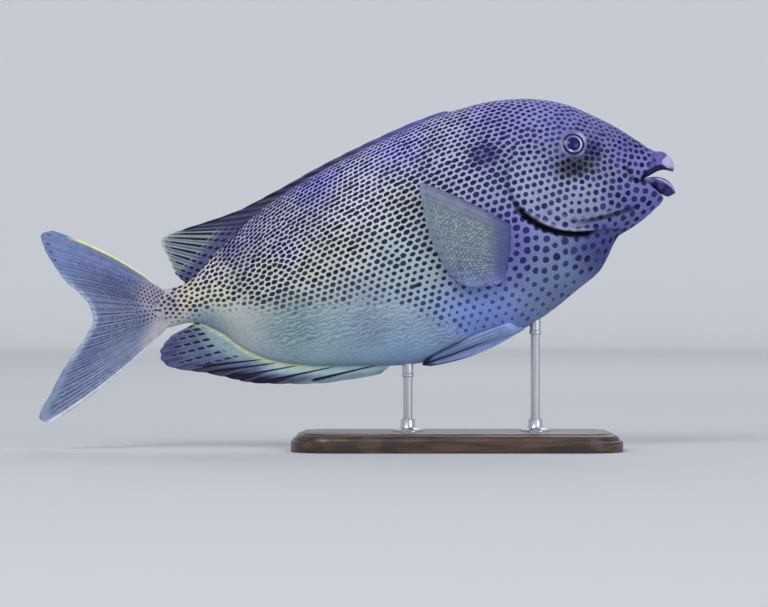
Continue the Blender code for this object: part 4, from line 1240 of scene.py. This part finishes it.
class Fin:
    """A fin as a grid: u runs across its rays, v from its root to its edge."""

    def __init__(self, rays, root, tip, rows, bulge, scallop, soft):
        u, centres, spacing = rays
        near = np.abs(u[:, None] - centres).argmin(1)
        along = np.ones(rows)
        self.u = u[:, None] * along
        self.v = np.ones(len(u))[:, None] * np.linspace(0, 1, rows)
        self.ray = near[:, None] * np.ones(rows, int)
        self.gap = ((u - centres[near]) / spacing[near])[:, None] * along
        self.soft = soft[near][:, None] * along
        start = np.stack([root[0](u), root[1](u)], -1)
        run = np.stack([tip[0](u), tip[1](u)], -1) - start
        length = np.linalg.norm(run, axis=1)
        across = np.stack([-run[:, 1], run[:, 0]], -1) / length[:, None]
        dip = scallop * (2 * np.abs(self.gap[:, 0])) ** 2 / length
        reach = self.v * (1 - dip[:, None])
        flat = start[:, None] + run[:, None] * reach[..., None]
        flat = flat + across[:, None] * (bulge(u)[:, None] * 4 * reach * (1 - reach))[..., None]
        self.s, self.h = flat[..., 0], flat[..., 1]
        self.reach = self.v * length[:, None]
        step_u = [np.gradient(values, axis=0) / np.gradient(self.u, axis=0) for values in (self.s, self.h)]
        step_v = [np.gradient(values, axis=1) for values in (self.s, self.h)]
        apart = np.abs(step_u[0] * step_v[1] - step_u[1] * step_v[0]) / np.hypot(*step_v)
        self.pitch = apart * spacing[near][:, None]
        self.off = self.gap * self.pitch
        self.across = self.u * len(centres)

    def branches(self):
        """Height of the rays, 0 to 1: a soft ray parts into two and then four towards its tip."""
        first = 0.17 * fade(self.v, 0.42, 0.75) * self.soft
        second = 0.075 * fade(self.v, 0.7, 1.0) * self.soft
        narrow = RAY_WIDTH * (1 - 0.5 * fade(self.v, 0.4, 1.0) * self.soft)
        height = np.zeros(self.v.shape)
        for a in (-1, 1):
            for b in (-1, 1):
                height = np.maximum(height, bump(self.gap + a * first + b * second, narrow))
        return height

    def half_thickness(self, shape):
        """Flesh at the root, then membrane, and rays that thin out to the edge."""
        flesh = (shape["root_half"] - MEMBRANE) * np.clip(1 - self.v / shape["thin_by"], 0, None) ** 2
        rays = shape["ray_half"] * self.branches() * (1 - 0.75 * self.v)
        return flesh + MEMBRANE + (EDGE - MEMBRANE) * self.v**3 + rays


def fan(count, fine, start=0):
    """Columns over a run of rays, with the rays' centres and their spacing."""
    step = 1 / count
    centres = start + (np.arange(count) + 0.5) * step
    return np.linspace(start, start + 1, count * fine + 1), centres, np.full(count, step)


def soft_fin(shape):
    """A fan of soft rays."""
    rays = fan(shape["rays"], shape["fine"])
    root, tips, bulge = smooth_pair(shape["root"]), smooth_pair(shape["tips"]), smooth(shape["bulge"])
    return Fin(rays, root, tips, shape["rows"], bulge, shape["scallop"], np.ones(shape["rays"]))


def folded_fin(shape, outline, sunk):
    """A midline fin of folded spines with soft rays behind them."""
    spines, rays = fan(shape["spines"], 9), fan(shape["rays"], 14, 1)
    columns = np.append(spines[0], rays[0][1:]), np.append(spines[1], rays[1]), np.append(spines[2], rays[2])
    root_s = smooth(shape["roots"])
    root = (root_s, lambda value: outline(root_s(value)) + sunk)
    tips = [*shape["spine_tips"][:-1], *[(1 + a, s, h) for a, s, h in shape["ray_tips"]]]
    soft = np.append(np.zeros(shape["spines"]), np.ones(shape["rays"]))
    return Fin(columns, root, smooth_pair(tips), shape["rows"], np.zeros_like, shape["scallop"], soft)


def on_midline(s, h, v):
    return -s, np.zeros(s.shape), h


def on_flank(side):
    """Rooted in the flank, and lifted off it towards the edge."""
    def place(s, h, v):
        rise = PECTORAL_CLEAR * fade(v, 0.0, 0.14) + PECTORAL_LIFT * v**1.2
        return -s, side * (flank(s, h) + rise - FIN_SUNK * (1 - fade(v, 0.0, 0.06))), h

    return place


def on_belly(side):
    """Rooted in the belly, and folded against it beside the midline."""
    def place(s, h, v):
        rise = PELVIC_CLEAR * fade(v, 0.0, 0.15) + PELVIC_LIFT * v
        half = np.clip(flank(s, h) + rise - FIN_SUNK * (1 - fade(v, 0.0, 0.1)), 0, None)
        return -s, side * np.hypot(half, PELVIC_NEAREST), h

    return place


def on_both_faces(values):
    """Values of a fin's grid, for the points of its front and then of its rear."""
    flat = values.reshape(-1, *values.shape[2:])
    return np.concatenate([flat, flat])


def fin_piece(name, nodes, fin, place, shape, material, look):
    """A closed sheet of a fin, with a thickness to each side of its middle."""
    grid = np.stack(place(fin.s, fin.h, fin.v), -1)
    normal = np.cross(np.gradient(grid, axis=1), np.gradient(grid, axis=0))
    normal /= np.linalg.norm(normal, axis=-1, keepdims=True) + 1e-9
    pleats = shape["pleat"] * np.cos(2 * math.pi * fin.gap) * fade(fin.v, 0.05, 0.4)
    grid = grid + normal * pleats[..., None]
    half = fin.half_thickness(shape)[..., None]
    points = np.concatenate([(grid + normal * half).reshape(-1, 3), (grid - normal * half).reshape(-1, 3)])
    index = numbered(*fin.u.shape)
    front = np.stack([index[:-1, :-1], index[:-1, 1:], index[1:, 1:], index[1:, :-1]], -1).reshape(-1, 4)
    sheets = np.concatenate([front, (front + index.size)[:, ::-1]])
    edge = np.concatenate([index[:, 0], index[-1, 1:], index[-2::-1, -1], index[0, -2:0:-1]])
    after = np.roll(edge, -1)
    rim = np.stack([edge, after, after + index.size, edge + index.size], -1)
    obj = mesh_object(name, points, np.concatenate([sheets, rim]).tolist(), material, nodes)
    fields = {key: np.zeros(fin.u.shape) for key in FIN_MARKS}
    fields.update(look(fin))
    fields.update(
        across=fin.across, pitch=fin.pitch, reach=fin.reach, ridge=fin.branches() * fade(fin.v, 0.08, 0.35),
    )
    fields = {key: on_both_faces(values) for key, values in fields.items()}
    for key in ("net", "ink"):
        fields[key] = colour_values(fields[key])
    place = np.stack([on_both_faces(fin.s), points[:, 1], on_both_faces(fin.h)], -1)
    store(obj, place=place, **fields)
    lay_out(obj, sheet_layout(fin, np.append(sheets, rim % index.size)))
    face_out(obj)


def sheet_layout(fin, corners):
    """Both faces of a fin side by side, for the points at the corners of its faces."""
    across = (fin.u - fin.u.min()) / (fin.u.max() - fin.u.min())
    front = np.stack([0.01 + 0.48 * across.ravel(), 0.01 + 0.98 * fin.v.ravel()], -1)
    return np.concatenate([front, front + (0.5, 0)])[corners]


def layered(fin, first, *layers):
    """A colour all over a fin with others laid over it in linear light, each as (colour, share)."""
    colour = paint(first) * np.ones((*fin.v.shape, 3))
    for over, share in layers:
        colour = colour * (1 - share[..., None]) + paint(over) * share[..., None]
    return colour


def dashes(fin, period, share, start):
    """1 on dashes along each ray, every period mm, out of step from ray to ray."""
    along = (fin.reach - start + fin.ray * 1.3) / period % 1
    return fade(0.5 * share - np.abs(along - 0.5), -0.06, 0.06)


def folds(fin, lines, widest):
    """1 on lines from the body's edge out to the margin, each widening as it goes."""
    mark = np.zeros(fin.v.shape)
    for start, end in lines:
        t, away_s, away_h = from_line(fin.s, fin.h, start, np.subtract(end, start))
        line = fade(widest * (0.25 + 0.75 * t) - np.hypot(away_s, away_h), -0.2, 0.15)
        mark = np.maximum(mark, line * fade(t, 0, 0.12))
    return mark


def dorsal_look(fin):
    u, v, off = fin.u, fin.v, np.abs(fin.off)
    soft = fade(u, 0.97, 1.08)
    above = fin.h - back(fin.s)
    front = (1 - soft) * (1 - fade(fin.s, 130, 190))
    edge = fade(v, 0.9, 0.98) * (1 - front)
    net = layered(
        fin, (78, 80, 120),
        ((78, 88, 130), fade(above, 2, 10)),
        ((146, 160, 156), 0.9 * bump(off - 1.25 + 0.5 * v, 0.5) * soft * fade(above, 4, 10)),
        ((92, 90, 158), front),
        ((176, 186, 168), edge * (0.25 + 0.55 * soft)),
        ((26, 22, 64), 0.8 * (1 - soft) * (1 - edge) * fade(fin.s, 120, 190)),
    )
    end = 0.88 - 0.22 * np.clip(u - 1.35, 0, 0.6)
    line = fade(0.95 - 0.6 * v - off, -0.15, 0.15)
    body = fade(above, 9.2, 9.7) * (1 - fade(v, end - 0.06, end + 0.03))
    dots = dashes(fin, 3.6, 0.68, 1.6) * (1 - fade(above, 8.2, 8.8))
    tips = fade(0.45 - off, -0.15, 0.15) * bump(v - 0.92, 0.016)
    mark = np.clip(line * np.maximum(body, dots) + 0.8 * tips, 0, 1) * soft
    mark = np.maximum(mark, folds(fin, DORSAL_FOLDS, 0.5))
    return {"net": net, "ink": layered(fin, (8, 4, 42)), "mark": mark}


def anal_look(fin):
    u, v = fin.u, fin.v
    end = 0.24 * fade(u, 0.75, 1.1)
    tip = fade(u, 1.15, 1.45)
    below = belly(fin.s) - fin.h
    line = bump(below - 1.3, 1.5) * (0.12 + 0.88 * fade(u, 0.25, 0.85)) * (1 - 0.6 * fade(u, 1.5, 1.9))
    net = layered(
        fin, (164, 194, 202),
        ((142, 164, 172), fade(u, 0.8, 1.2)),
        ((86, 100, 134), fade(v, 0.42 - end, 0.78 - end) * (0.45 + 0.55 * fade(u, 0.3, 0.7))),
        ((12, 4, 46), fade(v, 0.5, 0.86) * (0.3 + 0.7 * fade(u, 0.25, 0.6)) * (1 - tip)),
        ((50, 48, 100), 0.85 * tip * fade(v, 0.62, 0.88) * (1 - fade(u, 1.65, 1.9))),
        ((200, 208, 166), 0.85 * line),
    )
    dash = fade(0.74 - 0.2 * v - np.abs(fin.off), -0.12, 0.15) * fade(u, 1.2, 1.3)
    dash = dash * dashes(fin, 5.2, 0.74, 0.0) * band(v, 0.24, 0.3, 0.8, 0.88)
    mark = np.maximum(dash, folds(fin, ANAL_FOLDS, 0.85))
    return {"net": net, "ink": layered(fin, (10, 6, 42)), "mark": mark}


def caudal_look(fin):
    u, v, reach = fin.u, fin.v, fin.reach
    upper = 1 - fade(u, 0.42, 0.56)
    root = 1 - fade(v + 0.05 * np.cos(9 * u), 0.1, 0.34)
    rear = fade(v, 0.9, 0.96) * fade(u, 0.22, 0.4) * (1 - 0.6 * fade(u, 0.72, 0.8))
    top = (1 - fade(u, 0.006, 0.015)) * band(v, 0.06, 0.1, 0.76, 0.9)
    net = layered(
        fin, (100, 112, 152),
        ((108, 126, 168), upper * fade(v, 0.4, 0.9)),
        ((84, 92, 136), 0.9 * upper * bump(u - 0.36, 0.15) * (1 - fade(v, 0.6, 0.95))),
        ((114, 126, 184), 0.7 * bump(u - 0.13, 0.08) * fade(v, 0.1, 0.4)),
        ((110, 122, 148), 0.8 * bump(u - 0.52, 0.13) * (1 - fade(v, 0.7, 0.95))),
        ((114, 130, 160), 0.85 * fade(u, 0.62, 0.9) * (1 - 0.6 * fade(v, 0.5, 0.9))),
        ((78, 82, 136), 0.65 * bump(u - 0.78, 0.13) * band(v, 0.55, 0.75, 0.84, 0.94)),
        ((172, 167, 176), root * (0.8 + 0.2 * fade(u, 0.3, 0.6))),
        ((158, 178, 196), 0.9 * rear),
        ((240, 240, 160), top),
        ((218, 221, 234), fade(u, 0.978, 0.99) * fade(v, 0.08, 0.16)),
    )
    tips = fade(0.55 - np.abs(fin.off), -0.15, 0.15) * bump(v - 0.955, 0.012) * (1 - fade(u, 0.22, 0.34))
    out = fade(reach, 8, 14)
    inner = band(u, 0.07 * out, 0.06 + 0.1 * out, 0.62, 0.84)
    lines = (1 - 0.7 * upper) * band(v, 0.12, 0.3, 0.86, 0.95) * (1 - top)
    return {
        "net": net,
        "ink": layered(fin, (34, 32, 86)),
        "mark": 0.95 * tips,
        "dots": inner * band(reach, 10, 16, 48, 62) * (1 - 0.4 * fade(reach, 26, 44)),
        "spots": inner * (1 - fade(reach, 11, 18)),
        "lines": lines * (1 - 0.6 * bump(u - 0.47, 0.08) * fade(v, 0.25, 0.5)),
    }


def pectoral_look(fin):
    u, v = fin.u, fin.v
    net = layered(
        fin, (100, 115, 128),
        ((88, 104, 136), fade(u, 0.4, 0.9)),
        ((116, 122, 146), 1 - fade(u, 0.06, 0.2)),
        ((74, 76, 130), 0.85 * (1 - fade(u, 0.015, 0.07)) * (1 - 0.5 * fade(v, 0.5, 0.9))),
        # Darker blue-grey near the root is painted shade where the fin meets the body
        ((74, 80, 138), 0.8 * (1 - fade(v, 0.08, 0.34)) * (1 - 0.4 * fade(u, 0.7, 1.0))),
        ((96, 108, 168), 0.8 * fade(u, 0.7, 0.95)),
        ((132, 146, 150), 0.4 * fade(v, 0.92, 0.99) * (1 - fade(u, 0.4, 0.7))),
    )
    return {
        "net": net,
        "ink": layered(fin, (56, 66, 100)),
        "speckle": band(v, 0.16, 0.34, 0.86, 0.98) * fade(u, 0.1, 0.24) * (1 - 0.45 * fade(u, 0.7, 0.95)),
        "blots": np.maximum(0.6 * fade(u, 0.5, 0.85) * fade(v, 0.35, 0.7), 0.4 * fade(v, 0.84, 0.93)),
        "lines": 0.34 * band(v, 0.2, 0.4, 0.9, 0.98),
    }


def pelvic_look(fin):
    u, v = fin.u, fin.v
    net = layered(
        fin, (158, 180, 234),
        ((150, 172, 228), fade(v, 0.4, 0.8)),
        ((24, 20, 66), fade(v, 0.88, 0.97)),
    )
    mark = np.zeros(v.shape)
    for place, start in PELVIC_STREAKS:
        wide = 0.03 + 0.07 * fade(v, start, 1)
        streak = fade(wide - np.abs(u - place), -0.03, 0.03) * fade(v, start, start + 0.25)
        mark = np.maximum(mark, 0.85 * streak)
    lines = 0.4 * band(v, 0.08, 0.25, 0.75, 0.9)
    return {"net": net, "ink": layered(fin, (18, 14, 72)), "mark": mark, "lines": lines}


def fin_material():
    coat = Coating("fin_paint", Specular_IOR_Level=0.2, Coat_Weight=0.06, Coat_Roughness=0.25)
    place = coat.stored("place", "Vector")
    net, ink = coat.stored("net", "Color"), coat.stored("ink", "Color")
    across, pitch, reach, ridge = coat.numbers("across", "pitch", "reach", "ridge")
    mark, dots, spots, blots, lines, speckle = coat.numbers(*FIN_MARKS)

    def dot_rows(per_ray, step, radius, ragged):
        """1 on round dots in rows along the rays, out of step from row to row."""
        where = across * per_ray
        row = where.maths("ROUND")
        aside = (where - row) * pitch / per_ray
        along = ((reach / step + row * 0.5).maths("FRACT") - 0.5) * step
        far = (aside * aside + along * along).maths("SQRT") + (place.noise(0.8, 2) - 0.5) * ragged
        return far.span(radius + 0.14, radius - 0.14)

    wobble = place.noise(0.35, 2) * 0.5
    wave = ((across * 3.0 + wobble) * (2 * math.pi)).maths("SINE")
    line = wave.span(-0.2, 0.9) * lines * place.noise(0.3, 2).span(0.35, 0.6, 0.25, 1.0)
    cells = made(coat.tree, "TexVoronoi", {"Vector": place, "Scale": 0.26, "Randomness": 0.3}, "Distance")
    colour = net.painted(
        ((196, 202, 220), ridge * 0.1),
        (ink, line * 0.55),
        ((190, 204, 222), wave.span(-0.3, -0.95) * lines * 0.28),
        (ink, dot_rows(2.0, 1.5, 0.42, 1.1) * dots * 0.9),
        (ink, dot_rows(1.0, 2.3, 0.62, 1.0) * spots * 0.9),
        (ink, cells.span(0.44, 0.3) * blots * 0.8),
        ((184, 200, 192), dot_rows(2.0, 2.2, 0.46, 3.4) * speckle * 0.4),
    )
    joints = (reach * (2 * math.pi / 1.5)).maths("SINE")
    normal = line.relief(0.00008, -0.5, (joints * ridge).relief(0.00006, 0.6))
    return coat.finished(
        Base_Color=colour.dappled(place.noise(0.25, 4), 0.88, 1.08).painted((ink, mark)),
        Roughness=place.noise(0.5, 3).span(0.3, 0.7, 0.4, 0.55),
        Normal=place.noise(1.2, 3).relief(0.0001, 0.4, normal),
    )


def make_fins(material):
    nodes = ("dorsal_fin_spines", "dorsal_fin_rays")
    fin_piece("dorsal_fin", nodes, folded_fin(DORSAL, back, -3.0), on_midline, DORSAL, material, dorsal_look)
    nodes = ("anal_fin_spines", "anal_fin_rays")
    fin_piece("anal_fin", nodes, folded_fin(ANAL, belly, 3.0), on_midline, ANAL, material, anal_look)
    nodes = ("caudal_fin_upper", "caudal_fin_lower")
    fin_piece("caudal_fin", nodes, soft_fin(CAUDAL), on_midline, CAUDAL, material, caudal_look)
    for word, side in FLANKS.items():
        for name, place, shape, look in (
            ("pectoral", on_flank(side), PECTORAL, pectoral_look),
            ("pelvic", on_belly(side), PELVIC, pelvic_look),
        ):
            nodes = (f"{name}_fin_{word}",)
            fin_piece(f"{name}_{word}", nodes, soft_fin(shape), place, shape, material, look)


# Eyes

def eye_material():
    coat = Coating("eye_gloss", Roughness=0.25, Specular_IOR_Level=0.2, Coat_Weight=0.3, Coat_Roughness=0.03)
    radius, gleam = coat.numbers("from_axis", "gleam")
    radius = radius + (coat.stored("place", "Vector").noise(1.6, 3) - 0.5) * 0.35
    ramp = made(coat.tree, "ValToRGB", {0: radius / EYE_RADIUS})
    stops = ramp.socket.node.color_ramp.elements
    for stop, (_, colour) in zip(stops, (EYE_RINGS[0], EYE_RINGS[-1])):
        stop.color = rgba(colour)
    for where, colour in EYE_RINGS[1:-1]:
        stops.new(where / EYE_RADIUS).color = rgba(colour)
    ring = radius.span(3.5, 3.7) * radius.span(4.75, 4.5)
    # The white ring dims to lilac away from its front and from a painted glint at its lower back
    return coat.finished(Base_Color=ramp.painted((gleam.between(rgba((70, 62, 138)), ramp), ring)))


def make_eye(name, side, material, node):
    """An eyeball turned about its own axis: a raised pupil, a ring round it and the white's edge."""
    middle, axis = eye_frame(side)
    polar = np.linspace(0.0, math.pi, EYE_STEPS + 1)[1:-1]
    radius = EYE_RADIUS * np.sin(polar)
    depth = EYE_DEPTH * np.cos(polar)
    raised = PUPIL_RAISED * (1 - fade(radius, 2.6, 3.7)) - 0.12 * bump(radius - 4.0, 0.5)
    depth = depth + np.where(depth > 0, raised, 0)
    x = np.cross([0.0, 0.0, 1.0], axis)
    x /= np.linalg.norm(x)
    y = np.cross(axis, x)
    angle = np.linspace(0, 2 * math.pi, EYE_TURNS, endpoint=False)
    circle = np.cos(angle)[:, None] * x + np.sin(angle)[:, None] * y
    rings = middle + depth[:, None, None] * axis + radius[:, None, None] * circle
    tips = [middle + axis * (EYE_DEPTH + PUPIL_RAISED), middle - axis * EYE_DEPTH]
    points = np.concatenate([rings.reshape(-1, 3), tips])
    obj = mesh_object(name, points, closed_faces(numbered(len(radius), EYE_TURNS)), material, (node,))
    seen = np.where(np.arange(len(radius)) < EYE_STEPS // 2, radius, EYE_RADIUS)
    turn = np.arctan2(points[:, 2] - middle[2], points[:, 0] - middle[0])
    # Brightness of the eye's ring: highest at the front, where the white ring shows, and at its lower back, a
    # painted glint
    gleam = 0.12 + 0.88 * np.maximum(bump(turn - 0.1, 0.75), bump(turn + 2.1, 0.4))
    store(obj, place=points, from_axis=np.append(seen.repeat(EYE_TURNS), [0, EYE_RADIUS]), gleam=gleam)
    face_out(obj)


# Display stand

def base_outline(inset):
    """A rectangle with round corners, inset from the base's edge."""
    length, width = BASE_SIZE
    radius = BASE_CORNER - inset
    points = []
    for corner, (way_x, way_y) in enumerate(((1, 1), (-1, 1), (-1, -1), (1, -1))):
        turn = math.pi / 2 * (corner + np.linspace(0, 1, CORNER_STEPS))
        x = way_x * (length / 2 - BASE_CORNER) + radius * np.cos(turn)
        y = way_y * (width / 2 - BASE_CORNER) + radius * np.sin(turn)
        points.append(np.stack([x, y], -1))
    return np.concatenate(points)


def make_base(material):
    rings = []
    for inset, height in BASE_EDGE:
        outline = base_outline(inset)
        rings.append(np.column_stack([outline, np.full(len(outline), height)]))
    index = numbered(len(rings), len(rings[0]))
    faces = [*faces_between(index[1:], index[:-1]), index[-1].tolist(), index[0, ::-1].tolist()]
    mesh_object("base", np.concatenate(rings), faces, material, ("stand_base",), in_metres, 0.5)


def turned(name, x, profile, lift, material):
    """A ring turned round a rod."""
    radius, height = np.array([(ROD_BORE, profile[0][1]), *profile, (ROD_BORE, profile[-1][1])]).T
    points = turned_points(radius, height + lift, TURNS, x)
    index = numbered(len(radius), TURNS)
    faces = faces_between(np.roll(index, -1, 0), index)
    face_out(mesh_object(name, points, faces, material, (), in_metres, 0.6))


def belly_over(x):
    """Height of the belly's lowest line above a place along the base, in mm."""
    s = np.linspace(40, 250, 2000)
    line = to_world(np.stack([-s, np.zeros(s.shape), belly(s)], -1)) / MM
    return float(np.interp(-x, -line[:, 0], line[:, 2]))


def make_stand():
    steel = steel_material()
    make_base(wood_material())
    for word, x in RODS.items():
        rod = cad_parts["stand_rod_" + word]
        rod.data.materials.clear()
        rod.data.materials.append(steel)
        turned(f"flange_{word}", x, FLANGE, 0.0, steel)
        turned(f"sleeve_{word}", x, SLEEVE, belly_over(x), steel)


# Camera, light and floor

def make_camera():
    data = bpy.data.cameras.new("camera")
    data.sensor_width = SENSOR
    data.lens = SENSOR * -CAMERA_AT[1] / VIEW_WIDTH
    bpy.context.scene.camera = into_scene("camera", data, Vector(CAMERA_AT) * MM, (math.pi / 2, 0, 0))


def make_floor():
    """A floor that curves up into a round wall: darker grey near the middle, as painted shade against the
    lamps' pool of light, and pale further out.
    """
    turn = np.linspace(0, math.pi / 2, 12)[1:]
    flat = np.linspace(0.0, FLOOR_REACH, 8)
    radius = [*flat, *(FLOOR_REACH + FLOOR_RISE * np.sin(turn)), FLOOR_REACH + FLOOR_RISE]
    height = [*(0 * flat), *(FLOOR_RISE - FLOOR_RISE * np.cos(turn)), WALL_TOP]
    coat = Coating("floor_paint", Roughness=0.85, Specular_IOR_Level=0.1)
    far = made(coat.tree, "VectorMath", {0: coat.object_place()}, "Value", operation="LENGTH")
    material = coat.finished(Base_Color=far.span(2.2, 5.2).between(*FLOOR_GREYS))
    index = numbered(len(radius), FLOOR_TURNS)
    points = turned_points(np.array(radius), np.array(height), FLOOR_TURNS)
    smooth_mesh("floor", points, faces_between(index[1:], index[:-1]), material)


def make_light(name, at, size, power, colour):
    data = bpy.data.lights.new(name, "AREA")
    data.shape = "DISK"
    data.size = size
    data.energy = power
    data.color = colour
    into_scene(name, data, at, (Vector(LIGHTS_AIM) - Vector(at)).to_track_quat("-Z", "Y").to_euler())


def make_lights():
    world = bpy.data.worlds.new("world")
    bpy.context.scene.world = world
    world.use_nodes = True
    sky = world.node_tree.nodes["Background"]
    sky.inputs["Color"].default_value = (0.86, 0.9, 1.0, 1)
    sky.inputs["Strength"].default_value = 0.6
    for name, (at, size, power, colour) in LIGHTS.items():
        make_light(name, at, size, power, colour)
    bpy.context.scene.view_settings.view_transform = "Standard"


make_camera()
make_floor()
make_lights()
make_skin(skin_material())
eye_paint = eye_material()
for word, side in FLANKS.items():
    make_eye(f"eye_{word}_ball", side, eye_paint, f"eye_{word}")
make_fins(fin_material())
make_stand()
